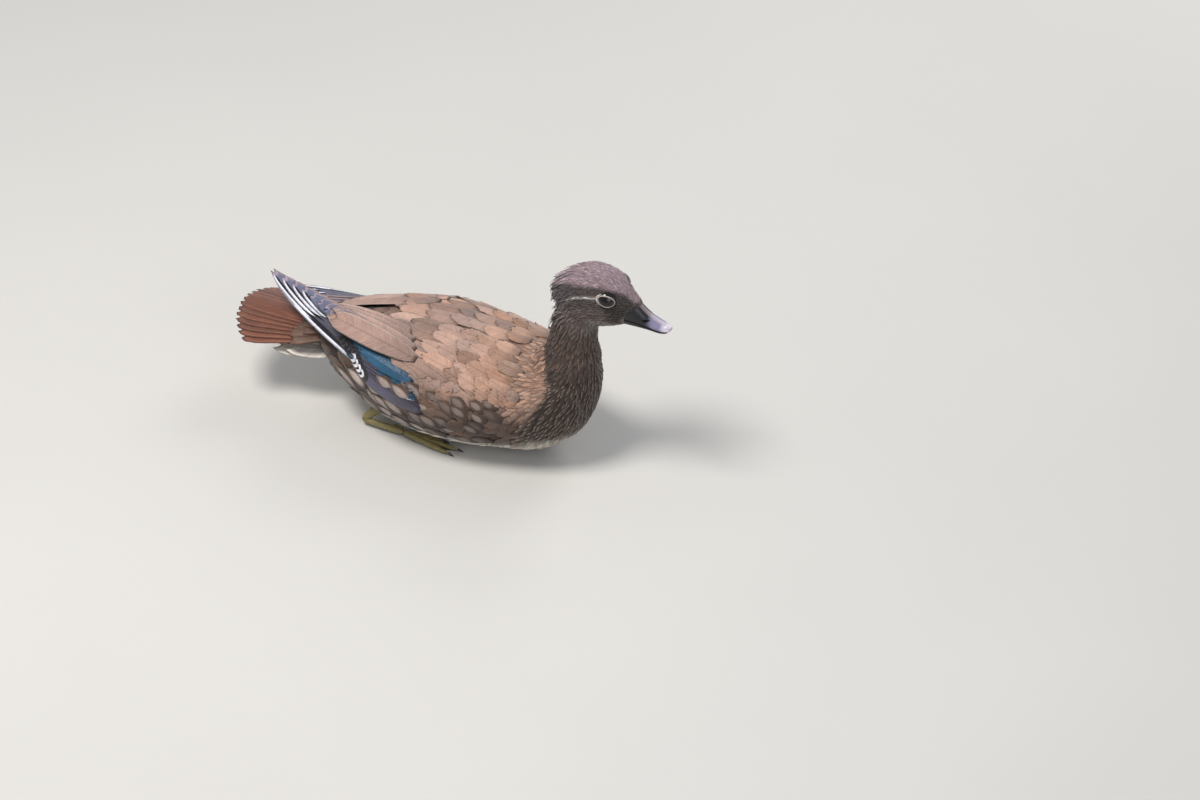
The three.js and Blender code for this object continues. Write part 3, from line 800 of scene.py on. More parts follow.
@dataclass(frozen=True)
class PrimaryMarks:
    """A primary's web: blue-grey, rosy inside, and where it is marked a silvery edge beside black."""

    slate: np.ndarray = field(default_factory=lambda: colour(74, 73, 86))
    slate_pale: np.ndarray = field(default_factory=lambda: colour(98, 101, 124))
    rosy: np.ndarray = field(default_factory=lambda: colour(158, 132, 128))
    ink: np.ndarray = field(default_factory=lambda: colour(20, 18, 24))
    silver: np.ndarray = field(default_factory=lambda: colour(224, 224, 236))
    tip: np.ndarray = field(default_factory=lambda: colour(156, 142, 154))
    pale_run: tuple[float, float] = (0.5, 0.95)
    rosy_across: tuple[float, float] = (0.55, 0.98)
    ink_across: tuple[float, float] = (-0.24, -0.32)
    silver_across: tuple[float, float] = (-0.6, -0.67)
    tip_run: tuple[float, float] = (0.955, 0.985)

    def paint(self, n: Nodes, vane: VaneMap) -> bpy.types.NodeSocket:
        """The web's colour at each place."""
        web = n.mix(n.step(vane.run, *self.pale_run), self.slate, self.slate_pale)
        web = n.mix(n.step(vane.across, *self.rosy_across), web, self.rosy)
        web = n.mix(n.times(n.step(vane.across, *self.ink_across), vane.mark), web, self.ink)
        web = n.mix(n.times(n.step(vane.across, *self.silver_across), vane.mark), web, self.silver)
        return n.mix(n.step(vane.run, *self.tip_run), web, self.tip)


@dataclass(frozen=True)
class SpeculumMarks:
    """A secondary's web: its own panel colour and a black bar, with a white tip at mark 0, an edge at mark 1."""

    bar: np.ndarray = field(default_factory=lambda: colour(22, 20, 26))
    tip: np.ndarray = field(default_factory=lambda: colour(222, 220, 226))
    line: np.ndarray = field(default_factory=lambda: colour(226, 224, 232))
    base_gain: float = 0.75
    inner_gain: float = 0.45
    base_run: tuple[float, float] = (0.35, 0.8)
    inner_across: tuple[float, float] = (0.1, 0.8)
    bar_run: tuple[float, float] = (0.87, 0.895)
    tip_run: tuple[float, float] = (0.955, 0.967)
    tip_mark: tuple[float, float] = (0.3, 0.2)
    line_across: tuple[float, float] = (-0.76, -0.84)
    line_mark: tuple[float, float] = (0.7, 0.8)

    def paint(self, n: Nodes, vane: VaneMap) -> bpy.types.NodeSocket:
        """The web's colour at each place."""
        panel = n.mix(n.step(vane.run, *self.base_run), n.scaled(vane.tint, self.base_gain), vane.tint)
        panel = n.mix(n.step(vane.across, *self.inner_across), panel, n.scaled(vane.tint, self.inner_gain))
        panel = n.mix(n.step(vane.run, *self.bar_run), panel, self.bar)
        tip = n.times(n.step(vane.run, *self.tip_run), n.step(vane.mark, *self.tip_mark))
        line = n.times(n.step(vane.across, *self.line_across), n.step(vane.mark, *self.line_mark))
        return n.mix(line, n.mix(tip, panel, self.tip), self.line)


@dataclass(frozen=True)
class FeatherFinish:
    """The finish of one kind of vane: the coat's markings, the vane's own pattern, its barbs and its shaft."""

    name: str
    pattern: Pattern = Pattern.PLAIN
    roughness: float = 0.62
    sheen: float = 0.15
    specular: float = 0.3
    # How deep the bump is, and how many millimetres lie between barbs.
    depth: float = 0.12
    barb: float = 1.1
    # How much each cause lightens or darkens the vane.
    edge: float = 0.16
    shaft: float = 0.2
    mottle: float = 0.16
    # The base's darkening: partly the feathers' own darker bases, partly painted shade where the feather above lies
    # over it.
    base_dark_and_shade: float = 0.35
    # Streaks along the barbs lighten and darken the vane: the barbs' own lines, and painted sheen along them.
    streak: float = 0.9
    patch: float = 0.5
    barb_gain: float = 0.03
    # The barbs' slant, and how far and how finely they wander.
    slant: float = -0.45
    wander: float = 1.6
    wander_scale: float = 420.0
    # Streaks along the barbs: their fineness, its share across the vane and the shift from vane to vane.
    streak_scale: float = 0.85
    streak_across: float = 0.9
    streak_shift: float = 91.0
    patch_scale: float = 90.0
    # Where edge, shaft and the darker, shaded base start and end, across the half vane or along it.
    edge_off: tuple[float, float] = (0.72, 0.98)
    shaft_off: tuple[float, float] = (0.09, 0.02)
    ridge_off: tuple[float, float] = (0.07, 0.02)
    base_run: tuple[float, float] = (0.1, 0.55)
    # The heights of barbs, streaks and the shaft's ridge.
    barb_height: float = 0.3
    streak_height: float = 2.4
    ridge_height: float = 1.2
    # The pattern: its pale colour, the ground's gain, and an oval's half width, place and half length.
    accent: np.ndarray = field(default_factory=lambda: colour(205, 190, 175))
    ground: float = 1.0
    oval: tuple[float, float, float] = (0.5, 0.7, 0.26)
    oval_rim: tuple[float, float] = (1.5, 0.15)
    oval_share: float = 0.85
    oval_wander: float = 0.25
    tail_off: tuple[float, float] = (0.35, 0.9)
    tertial_off: tuple[float, float] = (0.8, 0.97)
    tertial_share: float = 0.45

    def make(self) -> bpy.types.Material:
        """Builds the material from the vane's map, its size and its tint.

        Returns:
            The material.
        """
        n = Nodes(self.name, self.roughness)
        n.set(Sheen_Weight=self.sheen, Specular_IOR_Level=self.specular)
        uv = n.add("ShaderNodeUVMap", uv_map="Vane").outputs[0]
        side, run, _ = n.add("ShaderNodeSeparateXYZ", {0: uv}).outputs
        size = n.add("ShaderNodeAttribute", attribute_name="vane").outputs["Vector"]
        width, length, chance = n.add("ShaderNodeSeparateXYZ", {0: size}).outputs
        coat = n.add("ShaderNodeAttribute", attribute_name="tint").outputs
        across = n.math("MULTIPLY_ADD", side, 2.0, -1.0)
        off = n.math("ABSOLUTE", across)
        wander = n.noise(n.place(), self.wander_scale, 2.0)
        vane = VaneMap(coat["Color"], coat["Alpha"], across, off, run, wander)
        phase = n.plus(n.times(run, length), n.times(off, width, self.slant), n.times(wander, self.wander))
        barbs = n.math("SINE", n.times(phase, 2 * math.pi / self.barb))
        strand = {0: phase, 1: n.times(across, self.streak_across), 2: n.times(chance, self.streak_shift)}
        strand = n.add("ShaderNodeCombineXYZ", strand).outputs[0]
        streak = n.math("SUBTRACT", n.noise(strand, self.streak_scale, 4.0), 0.5)
        patch = n.math("SUBTRACT", n.noise(n.place(), self.patch_scale), 0.5)
        gain = n.plus(
            1.0 - 0.5 * self.mottle,
            n.times(chance, self.mottle),
            n.times(barbs, self.barb_gain),
            # The barbs' streaks, with painted sheen along them.
            n.times(streak, self.streak),
            n.times(patch, self.patch),
            n.times(n.step(off, *self.edge_off), self.edge),
        )
        gain = n.math("SUBTRACT", gain, n.times(n.step(off, *self.shaft_off), self.shaft))
        # Darker towards the root: the base's own tone, and painted shade under the feather above.
        base = n.plus(1.0 - self.base_dark_and_shade, n.times(n.step(run, *self.base_run), self.base_dark_and_shade))
        height = n.plus(
            n.times(barbs, self.barb_height),
            n.times(streak, self.streak_height),
            n.times(n.step(off, *self.ridge_off), self.ridge_height),
        )
        return n.finish(n.scaled(self._marked(n, vane), n.times(gain, base)), height, self.depth * MM)

    def _marked(self, n: Nodes, vane: VaneMap) -> bpy.types.NodeSocket:
        """The tint with the pattern's own markings.

        Args:
            n: the material's nodes.
            vane: the place on the vane.

        Returns:
            The colour at each place.
        """
        if self.pattern is Pattern.SPOT:
            return n.mix(n.times(self._oval(n, vane), vane.mark), n.scaled(vane.tint, self.ground), self.accent)
        if self.pattern is Pattern.STREAK:
            return n.mix(self._oval(n, vane), n.scaled(vane.tint, self.ground), self.accent)
        if self.pattern is Pattern.PRIMARY:
            return PrimaryMarks().paint(n, vane)
        if self.pattern is Pattern.SPECULUM:
            return SpeculumMarks().paint(n, vane)
        if self.pattern is Pattern.TAIL:
            return n.mix(n.step(vane.off, *self.tail_off), n.scaled(vane.tint, self.ground), vane.tint)
        if self.pattern is Pattern.TERTIAL:
            return n.mix(n.times(n.step(vane.off, *self.tertial_off), self.tertial_share), vane.tint, self.accent)
        return vane.tint

    def _oval(self, n: Nodes, vane: VaneMap) -> bpy.types.NodeSocket:
        """The share of a pale oval near the vane's tip, its rim a little ragged."""
        wide, place, long = self.oval
        side = n.math("DIVIDE", vane.across, wide)
        along = n.math("DIVIDE", n.math("SUBTRACT", vane.run, place), long)
        ragged = n.times(n.math("SUBTRACT", vane.wander, 0.5), self.oval_wander)
        away = n.plus(n.times(side, side), n.times(along, along), ragged)
        return n.times(n.step(away, *self.oval_rim), self.oval_share)


@dataclass(frozen=True)
class Vane:
    """The shape that one kind of feather repeats: a thin closed leaf, lens-shaped across."""

    lanes: int
    rows: int
    outline: Curve = Curve((0, 0.3), (0.18, 0.75), (0.5, 1.0), (0.8, 0.93), (0.93, 0.72), (1, 0.42))
    round_tip: float = 0.22
    camber: float = 0.08
    thick: float = 0.12
    frayed: float = 0.05
    # The rows stand closer towards the tip by this power.
    close: float = 1.25

    def grid(self) -> tuple[np.ndarray, np.ndarray, np.ndarray, np.ndarray]:
        """The leaf's points and faces.

        Returns:
            For each point its place across (-1 to 1), along (0 to 1) and 1 if on the under face, and the quads.
        """
        columns, lines = self.lanes + 1, self.rows + 1
        run = 1 - (1 - np.linspace(0, 1, lines)) ** self.close
        u, v = np.meshgrid(np.linspace(-1, 1, columns), run)
        rim = np.ones((lines, columns), bool)
        rim[1:-1, 1:-1] = False
        top = np.arange(lines * columns).reshape(lines, columns)
        under = top.copy()
        under[~rim] = lines * columns + np.arange((~rim).sum())
        quads = np.concatenate([sheet_quads(top), sheet_quads(under, -1)])
        below = np.concatenate([np.zeros(u.size), np.ones((~rim).sum())])
        return np.concatenate([u.ravel(), u[~rim]]), np.concatenate([v.ravel(), v[~rim]]), below, quads


SLIM = Curve((0, 0.6), (0.35, 1.0), (0.7, 0.7), (1, 0.06))
PLUME = Vane(2, 3, SLIM, round_tip=0.0, camber=0.12, thick=0.1, frayed=0.0)
LOCK = Vane(2, 6, SLIM, round_tip=0.0, camber=0.15, thick=0.14, frayed=0.0)
NECK_PLUME = Vane(4, 4, frayed=0.04)
CONTOUR = Vane(6, 7)
COVERT = Vane(8, 10, frayed=0.03)
FLIGHT = Vane(
    8, 26, Curve((0, 0.35), (0.12, 0.8), (0.35, 1.0), (0.75, 0.86), (0.92, 0.58), (1, 0.16)),
    round_tip=0.3, camber=0.05, thick=0.35, frayed=0.012,
)
RECTRIX = Vane(
    8, 22, Curve((0, 0.4), (0.15, 0.8), (0.5, 1.0), (0.84, 0.98), (0.94, 0.8), (0.985, 0.5), (1, 0.2)),
    round_tip=0.2, camber=0.05, thick=0.3, frayed=0.02,
)
BROAD = Vane(
    10, 18, Curve((0, 0.3), (0.15, 0.72), (0.5, 1.0), (0.8, 0.95), (0.93, 0.75), (1, 0.36)),
    round_tip=0.3, camber=0.06, thick=0.3, frayed=0.02,
)


@dataclass
class Batch:
    """Feathers of one kind: roots, directions and sizes, one to a row."""

    roots: np.ndarray
    flows: np.ndarray
    lengths: np.ndarray
    widths: np.ndarray
    rises: np.ndarray
    flip: float = 1.0

    def part(self, keep: np.ndarray) -> "Batch":
        """The feathers for which keep is true."""
        rows = (self.roots, self.flows, self.lengths, self.widths, self.rises)
        return Batch(*(row[keep] for row in rows), self.flip)

    def __len__(self) -> int:
        """How many feathers there are."""
        return len(self.roots)


@dataclass(frozen=True)
class Blade:
    """A long feather on its own curve, from its root by way of a middle point to its tip."""

    root: np.ndarray
    middle: np.ndarray
    tip: np.ndarray
    out_root: np.ndarray
    out_tip: np.ndarray
    width: float

    def frame(self, v: np.ndarray) -> tuple[np.ndarray, np.ndarray, np.ndarray, float]:
        """The curve and its directions.

        Args:
            v: places along the feather, 0 at the root and 1 at the tip.

        Returns:
            The curve's points, its directions across and out, and its length.
        """
        s = v[:, None]
        place = (1 - s) ** 2 * self.root + 2 * s * (1 - s) * self.middle + s**2 * self.tip
        along = unit(2 * (1 - s) * (self.middle - self.root) + 2 * s * (self.tip - self.middle))
        out = (1 - s) * self.out_root + s * self.out_tip
        out = unit(out - along * dot(out, along))
        return place, np.cross(out, along), out, float(np.linalg.norm(self.tip - self.root))


@dataclass
class Coat:
    """Lays batches of feathers over the skin and makes each batch one dressed mesh."""

    surface: Surface
    plumage: Plumage
    seed: int = 7
    # A vane's rim is what lies beyond this share of its half width or length.
    rim: float = 0.99
    # Where the rim starts to fray, and how much more along than across.
    fray_run: tuple[float, float] = (0.35, 0.8)
    fray_run_long: tuple[float, float] = (0.5, 0.9)
    fray_along: float = 1.4
    # How the tip rises, how it varies, how far vanes roll, and where the camber sets in.
    rise_power: float = 1.3
    curl: float = 0.25
    roll: float = 0.05
    camber_run: tuple[float, float] = (0.0, 0.3)
    # Nothing lies lower over the floor, and under faces stay this much above.
    floor_gap: float = 0.05
    floor_step: float = 0.12
    # Where along a feather its colour is read, and how brightness and warmth vary.
    seen_at: float = 0.62
    shade_chance: float = 0.075
    warm_chance: float = 0.05
    # A pale spot's least strength, and the stations over which spots fade towards the breast.
    spot_least: float = 0.55
    spot_fade: tuple[float, float] = (-6, 34)
    # The size of a patch on the map for baking, and the empty margins of a cell.
    patch: float = 0.003
    cell_side: float = 0.06
    cell_end: float = 0.02

    def __post_init__(self) -> None:
        """Starts the draw of chance."""
        self.rng = np.random.default_rng(self.seed)

    def lay(self, name: str, batch: Batch, vane: Vane, sink: float = -0.25) -> bpy.types.Object:
        """One mesh of feathers that follow the skin.

        Args:
            name: the piece's name.
            batch: the feathers' places and sizes.
            vane: the shape of each.
            sink: the roots' height over the skin.

        Returns:
            The new object.
        """
        u, v, below, quads = vane.grid()
        count, size = len(batch), len(u)
        _, normals = self.surface.nearest(batch.roots)
        across = np.cross(normals, batch.flows)
        long, wide = batch.lengths[:, None], batch.widths[:, None]
        side = u * vane.outline(v) * wide / 2
        run = v * long - vane.round_tip * u**2 * v**4 * wide
        at_rim = (np.abs(u) > self.rim) | (v > self.rim)
        ragged = self.rng.normal(0, 1, (count, size)) * at_rim * smooth(v, *self.fray_run) * vane.frayed
        run = run + ragged * wide * self.fray_along
        side = side * (1 - np.abs(ragged))
        flat = batch.roots[:, None] + batch.flows[:, None] * run[..., None] + across[:, None] * side[..., None]
        place, normal = self.surface.nearest(flat.reshape(-1, 3))
        curl = 1 + self.curl * self.rng.normal(0, 1, (count, 1))
        camber = vane.camber * wide * (1 - u**2) * smooth(v, *self.camber_run)
        height = sink + batch.rises[:, None] * v**self.rise_power * curl + camber
        roll = self.rng.normal(0, self.roll, (count, 1)) * wide * u * v
        height = height + roll - below * vane.thick
        points = place + normal * height.reshape(-1, 1)
        points[:, 2] = np.maximum(points[:, 2], np.tile(self.floor_gap + self.floor_step * below, count))
        return self._dressed(name, points, vane, batch, self._tints(batch))

    def _tints(self, batch: Batch) -> np.ndarray:
        """Each feather's colour from the markings, with a little chance, and its spot's strength."""
        count = len(batch)
        tints = self.plumage.tint(batch.roots + batch.flows * (self.seen_at * batch.lengths)[:, None])
        warm = self.rng.normal(0, self.warm_chance, (count, 1)) * np.array([1.0, 0.0, -1.0])
        tints[:, :3] *= self.rng.normal(1, self.shade_chance, (count, 1)) + warm
        fade = smooth(batch.roots[:, 0], *self.spot_fade)
        tints[:, 3] = self.rng.uniform(self.spot_least, 1, count) - self.spot_least * fade
        return np.clip(tints, 0, 1)

    def free(
        self, name: str, blades: Sequence[Blade], vane: Vane, tints: np.ndarray, flip: float
    ) -> bpy.types.Object:
        """One mesh of long feathers that leave the skin, each along its own curve.

        Args:
            name: the piece's name.
            blades: the feathers' curves.
            vane: the shape of each.
            tints: a colour and a mark for each.
            flip: -1 to turn the vanes' own map over.

        Returns:
            The new object.
        """
        u, v, below, _ = vane.grid()
        points, sizes = [], []
        for blade in blades:
            fray = (np.abs(u) > self.rim) * smooth(v, *self.fray_run_long) * vane.frayed
            ragged = self.rng.normal(0, 1, u.shape) * fray
            place, across, out, length = blade.frame(v)
            side = u * vane.outline(v) * blade.width / 2 * (1 - np.abs(ragged))
            along = unit(np.cross(across, out))
            back = -vane.round_tip * u**2 * v**4 * blade.width + ragged * blade.width
            lift = vane.camber * blade.width * (1 - u**2) * smooth(v, *self.camber_run) - below * vane.thick
            points.append(place + across * side[:, None] + out * lift[:, None] - along * back[:, None])
            sizes.append((blade.width, length))
        wide, long = np.array(sizes).T
        roots = np.array([blade.root for blade in blades])
        batch = Batch(roots, np.zeros_like(roots), long, wide, wide, flip)
        return self._dressed(name, np.concatenate(points), vane, batch, tints, in_cells=True)

    def _dressed(
        self, name: str, points: np.ndarray, vane: Vane, batch: Batch, tints: np.ndarray, in_cells: bool = False
    ) -> bpy.types.Object:
        """The joined mesh with its tint, its sizes, each vane's own map and the map for baking.

        Args:
            name: the piece's name.
            points: all vanes' points.
            vane: the shape they share.
            batch: their places and sizes.
            tints: a colour and a mark for each.
            in_cells: whether each vane has a cell of the map for baking, and not a patch.

        Returns:
            The new object.
        """
        u, v, _, quads = vane.grid()
        count, size = len(batch), len(u)
        shift = (np.arange(count) * size)[:, None, None]
        obj = joined_quads(name, points.reshape(-1, 3), (quads[None] + shift).reshape(-1, 4))
        set_attribute(obj, "tint", np.repeat(tints, size, 0))
        chance = self.rng.random(count)
        set_attribute(obj, "vane", np.repeat(np.stack([batch.widths, batch.lengths, chance], -1), size, 0))
        own = np.stack([0.5 + 0.5 * batch.flip * u, v], -1)
        set_uv(obj, "Vane", np.tile(own, (count, 1)))
        baked = self._cells(count, own) if in_cells else self._patches(batch, own)
        set_uv(obj, "OFBake", baked.reshape(-1, 2))
        return obj

    def _patches(self, batch: Batch, own: np.ndarray) -> np.ndarray:
        """A small patch for each feather at its root's place on the skin's unwrap."""
        return self.surface.unwrap(batch.roots)[:, None] + (own[None] - 0.5) * self.patch

    def _cells(self, count: int, own: np.ndarray) -> np.ndarray:
        """A cell of its own for each of a few long feathers, side by side."""
        cell = 1.0 / count
        places = np.arange(count)[:, None] * cell
        wide = places + cell * (self.cell_side + (1 - 2 * self.cell_side) * own[None, :, 0])
        high = np.tile(self.cell_end + (1 - 2 * self.cell_end) * own[:, 1], (count, 1))
        return np.stack([wide, high], -1)


def mirrored(side: float, point: Sequence[float]) -> np.ndarray:
    """A place given for her right side, put on this side."""
    return np.array([point[0], -side * point[1], point[2]], float)


class ContourFeathers:
    """The small feathers of head, neck and body, scattered evenly and sized by where they grow."""

    length = Curve((0, 2.4), (0.05, 3.4), (0.1, 5), (0.2, 6.4), (0.3, 7.6), (0.42, 10), (0.55, 14), (1, 18))

    def scatter(self, surface: Surface, rng: np.random.Generator) -> Batch:
        """Roots over the whole skin, with each feather's lie and size."""
        polygons = np.array([polygon for polygon in surface.polygons if len(polygon) == 4])
        corners = surface.points[polygons]
        middles = corners.mean(1)
        run = surface.unwrap(middles)[:, 0]
        length = self.sizes(middles, run)[0]
        tries = 3.2 / (0.5 * length) ** 2 * 2.2
        area = np.linalg.norm(np.cross(corners[:, 2] - corners[:, 0], corners[:, 3] - corners[:, 1]), axis=1) / 2
        chosen = np.repeat(np.arange(len(polygons)), rng.poisson(area * tries))
        a, b = rng.random((2, len(chosen), 1))
        c = corners[chosen]
        candidates = (c[:, 0] * (1 - a) + c[:, 1] * a) * (1 - b) + (c[:, 3] * (1 - a) + c[:, 2] * a) * b
        order = rng.permutation(len(candidates))
        candidates, chosen = candidates[order], chosen[order]
        long, wide = self.sizes(candidates, run[chosen])
        keep = self._spaced(candidates, 0.47 * np.sqrt(long * wide))
        roots, normals = surface.nearest(candidates[keep])
        flows = self._lifted(roots, normals, surface.lie(roots, normals))
        flows = unit(flows + np.cross(normals, flows) * rng.normal(0, 0.1, (len(roots), 1)))
        long = long[keep] * rng.normal(1, 0.1, len(roots))
        return Batch(roots, flows, long, wide[keep], 0.035 * long + 0.45)

    @staticmethod
    def _lifted(roots: np.ndarray, normals: np.ndarray, flows: np.ndarray) -> np.ndarray:
        """The lie, turned up and inwards over the flanks."""
        x, _, z = roots.T
        flank = smooth(x, -66, -40) * (1 - smooth(x, 44, 66)) * smooth(z, 8, 26)
        turn = np.radians(32 * flank * (1 - smooth(z, 44, 60)) + 10 * smooth(z, 50, 60) * (1 - smooth(z, 78, 90)))
        up = np.cross(normals, flows)
        up *= np.sign(up[:, 2:])
        return flows * np.cos(turn)[:, None] + up * np.sin(turn)[:, None]

    def sizes(self, points: np.ndarray, run: np.ndarray) -> tuple[np.ndarray, np.ndarray]:
        """The length and width of the feather that grows at each place."""
        x, _, z = points.T
        length = self.length(run)
        flank = smooth(x, -70, -40) * (1 - smooth(x, 50, 72)) * smooth(z, 16, 26) * (1 - smooth(z, 50, 60))
        length = length + 11 * flank
        slim = 0.16 + 0.09 * smooth(length, 5.5, 7.5) + 0.37 * smooth(length, 8, 12)
        return length, length * slim

    @staticmethod
    def _spaced(points: np.ndarray, spacing: np.ndarray) -> np.ndarray:
        """Which points stay so that none is nearer to an earlier one than its own spacing."""
        tree = KDTree(len(points))
        for i, point in enumerate(points.tolist()):
            tree.insert(point, i)
        tree.balance()
        alive = np.ones(len(points), bool)
        for i, (point, reach) in enumerate(zip(points.tolist(), spacing.tolist())):
            if alive[i]:
                for _, j, _ in tree.find_range(point, reach):
                    if j > i:
                        alive[j] = False
        return np.flatnonzero(alive)


@dataclass(frozen=True)
class Tier:
    """A row of wing feathers on the body's side, from the front one back."""

    degrees: float
    first: float
    last: float
    count: int
    length: tuple[float, float]
    width: tuple[float, float]
    lean: float
    rise: float = 1.5
    loose: float = 1.2


class Wing:
    """One folded wing: arm coverts and scapulars in tiers, secondaries, tertials and primaries."""

    lesser = (
        Tier(15, 69, 10, 9, (10, 15), (8, 12), 12),
        Tier(23, 72, 4, 10, (11, 18), (9, 13), 12),
    )
    greater = (
        Tier(11, 42, 6, 7, (20, 27), (12, 15), 16, 1.5),
    )
    flank = (
        Tier(-36, 50, -34, 8, (20, 32), (11, 15), 21, 1.3, 3.0),
        Tier(-22, 56, -38, 9, (19, 34), (10, 15), 26, 1.7, 3.0),
        Tier(-9, 60, -36, 9, (17, 34), (9, 15), 28, 2.2, 3.0),
        Tier(3, 62, -24, 8, (14, 32), (9, 14), 28, 2.7, 3.0),
    )
    scapular = (
        Tier(31, 64, 0, 7, (20, 40), (12, 18), 15, 1.4),
        Tier(43, 66, -6, 7, (22, 46), (13, 20), 11, 1.5),
        Tier(55, 66, -10, 7, (22, 48), (13, 21), 8, 1.6),
        Tier(67, 62, -12, 7, (20, 48), (13, 21), 6, 1.6),
        Tier(80, 56, -10, 6, (20, 44), (13, 20), 3, 1.5),
    )
    tips = {
        "right": ((-86, -33, 65), (-144, 6, 73), 12.0, (-0.15, -0.45, 0.88), (0.1, 0.86, 0.5)),
        "left": ((-86, -38, 62), (-135, -16, 68), 0.0, (-0.1, 0.3, 0.95), (0.1, 0.98, -0.1)),
    }
    primary_back = (3, 0, 12, 24, 36, 47, 57, 66, 74, 82)
    primary_step = (0, 0.9, 4.6, 8.4, 12.0, 14.6, 16.2, 17.4, 18.4, 19.2)
    primary_width = 14.0
    edged = 5

    def __init__(self, name: str, coat: Coat) -> None:
        """Keeps the wing's side and the coat that lays its feathers."""
        self.name = name
        self.side = SIDES[name]
        self.coat = coat
        self.middle, self.tip, self.raised, self.facing, self.inward = self.tips[name]

    def build(self, finishes: dict[str, bpy.types.Material]) -> Iterator[bpy.types.Object]:
        """Makes the wing's pieces, each already dressed."""
        groups = {
            "lesser_coverts": (self.lesser, "covert"),
            "greater_coverts": (self.greater, "covert"),
            "flank_rows": (self.flank, "flank"),
            "scapulars": (self.scapular, "scapular"),
        }
        for group, (tiers, finish) in groups.items():
            batch = self._tiers(tiers)
            piece = self.coat.lay(f"{group}_{self.name}", batch, COVERT, 0.1)
            piece.data.materials.append(finishes[finish])
            if group == "flank_rows":
                self._browned(piece)
            yield piece
        for group, blades, vane, finish, shade in (
            ("primaries", self._primaries(), FLIGHT, "primary", colour(96, 92, 108)),
            ("secondaries", self._secondaries(), BROAD, "speculum", None),
            ("tertials", self._tertials(), BROAD, "tertial", colour(160, 130, 118)),
        ):
            tints = self._panel(len(blades)) if shade is None else one_tint(shade, len(blades))
            if group == "primaries":
                tints[self.edged:, 3] = 0.0
            piece = self.coat.free(f"{group}_{self.name}", blades, vane, tints, self.side)
            piece.data.materials.append(finishes[finish])
            yield piece

    def _browned(self, piece: bpy.types.Object) -> None:
        """Gives the flank rows their own brown in place of the wing's."""
        tint = piece.data.attributes["tint"]
        values = np.empty(len(tint.data) * 4, np.float32)
        tint.data.foreach_get("color", values)
        values = values.reshape(-1, 4)
        gain = values[:, :3].mean(1, keepdims=True) / values[:, :3].mean()
        values[:, :3] = self.coat.plumage.flank * np.clip(gain, 0.7, 1.35)
        tint.data.foreach_set("color", values.ravel())

    def _tiers(self, tiers: Sequence[Tier]) -> Batch:
        """The feathers of some tiers, with a little chance in their sizes and places."""
        rng = self.coat.rng
        rows = []
        for order, tier in enumerate(tiers):
            chance = rng.normal(0, 0.07 * tier.loose, tier.count)
            share = (np.arange(tier.count) + 0.5 * (order % 2) + chance) / (tier.count - 0.5)
            share = np.clip(share, 0, None) ** 1.15
            x = tier.first + (tier.last - tier.first) * share
            long = (tier.length[0] + (tier.length[1] - tier.length[0]) * share) * rng.normal(1, 0.05, tier.count)
            wide = tier.width[0] + (tier.width[1] - tier.width[0]) * share
            degrees = tier.degrees + rng.normal(0, tier.loose, tier.count)
            root = body_point(self.side, x, degrees)
            ahead = body_point(self.side, x - 0.6 * long, degrees + 0.6 * tier.lean)
            rows.append((root, unit(ahead - root), long, wide, np.full(tier.count, tier.rise)))
        roots, flows, long, wide, rises = (np.concatenate(part) for part in zip(*rows))
        place, normals = self.coat.surface.nearest(roots)
        flows = unit(flows - normals * dot(flows, normals))
        return Batch(place, flows, long, wide, rises, self.side)

    def _normal(self, x: float, degrees: float) -> np.ndarray:
        """The way the body's side faces."""
        return self.coat.surface.nearest(body_point(self.side, x, degrees)[None])[1][0]

    def _primaries(self) -> list[Blade]:
        """Ten primaries: the outer ones lowest and longest, each inner one a step in, on top and shorter."""
        start, bend, end = (mirrored(self.side, point) for point in ((-16, -55.4, 50), self.middle, self.tip))
        in_root, in_tip = mirrored(self.side, (0, 0.6, 0.8)), mirrored(self.side, self.inward)
        out_root, out_tip = mirrored(self.side, (-0.1, -0.97, 0.2)), mirrored(self.side, self.facing)
        back = unit(bend - end)
        blades = []
        for i, shorter in enumerate(self.primary_back):
            inward, rise = self.primary_width / 2 + self.primary_step[i], 0.42 * i
            blades.append(
                Blade(
                    start + in_root * inward + out_root * rise,
                    bend + in_tip * inward + out_tip * rise,
                    end + in_tip * inward * 0.8 + out_tip * rise + back * shorter,
                    out_root, out_tip, self.primary_width,
                )
            )
        return blades

    @staticmethod
    def _panel(count: int) -> np.ndarray:
        """The secondaries' colours, grey below with white tips, blue-green above, the lowest green one edged."""
        share = np.linspace(0, 1, count)
        green = smooth(share, 0.4, 0.5)[:, None]
        shades = colour(88, 82, 104) * (1 - green) + colour(46, 92, 122) * green
        first = np.argmax(green[:, 0] > 0.5)
        mark = np.where(np.arange(count) == first, 1.0, np.where(np.arange(count) < first, 0.0, 0.5))
        return np.concatenate([shades, mark[:, None]], 1)

    def _secondaries(self) -> list[Blade]:
        """Secondaries whose ends make the blue-green panel between the coverts and the primaries."""
        blades = []
        for share in np.linspace(0, 1, 9):
            degrees = -1 + 28 * share
            root = body_point(self.side, 2 - 8 * share, degrees, 2.4)
            middle = body_point(self.side, -22 - 10 * share, degrees + 7, 4.6)
            tip = body_point(self.side, -46 - 27 * share, degrees + 17, 4.9 + 1.8 * share)
            out = self._normal(-22 - 10 * share, degrees + 7)
            blades.append(Blade(root, middle, tip, out, self._normal(-44 - 25 * share, degrees + 17), 12.0))
        return blades

    def _tertials(self) -> list[Blade]:
        """Four broad tertials over the wing's end."""
        blades = []
        for i, share in enumerate(np.linspace(0, 1, 4)):
            x, degrees = -78 - 12 * share, 47 + 20 * share
            root = body_point(self.side, -8 - 4 * i, 46 + 21 * share, 3.2)
            lift = np.array([0, 0, self.raised * (1 - 0.3 * share)])
            tip = body_point(self.side, x, degrees, 6.5) + lift
            out_root, out_tip = self._normal(-14, 46 + 21 * share), self._normal(x, degrees)
            middle = root * 0.45 + tip * 0.55 + out_tip * 3.2
            blades.append(Blade(root, middle, tip, out_root, out_tip, 17.5))
        return blades


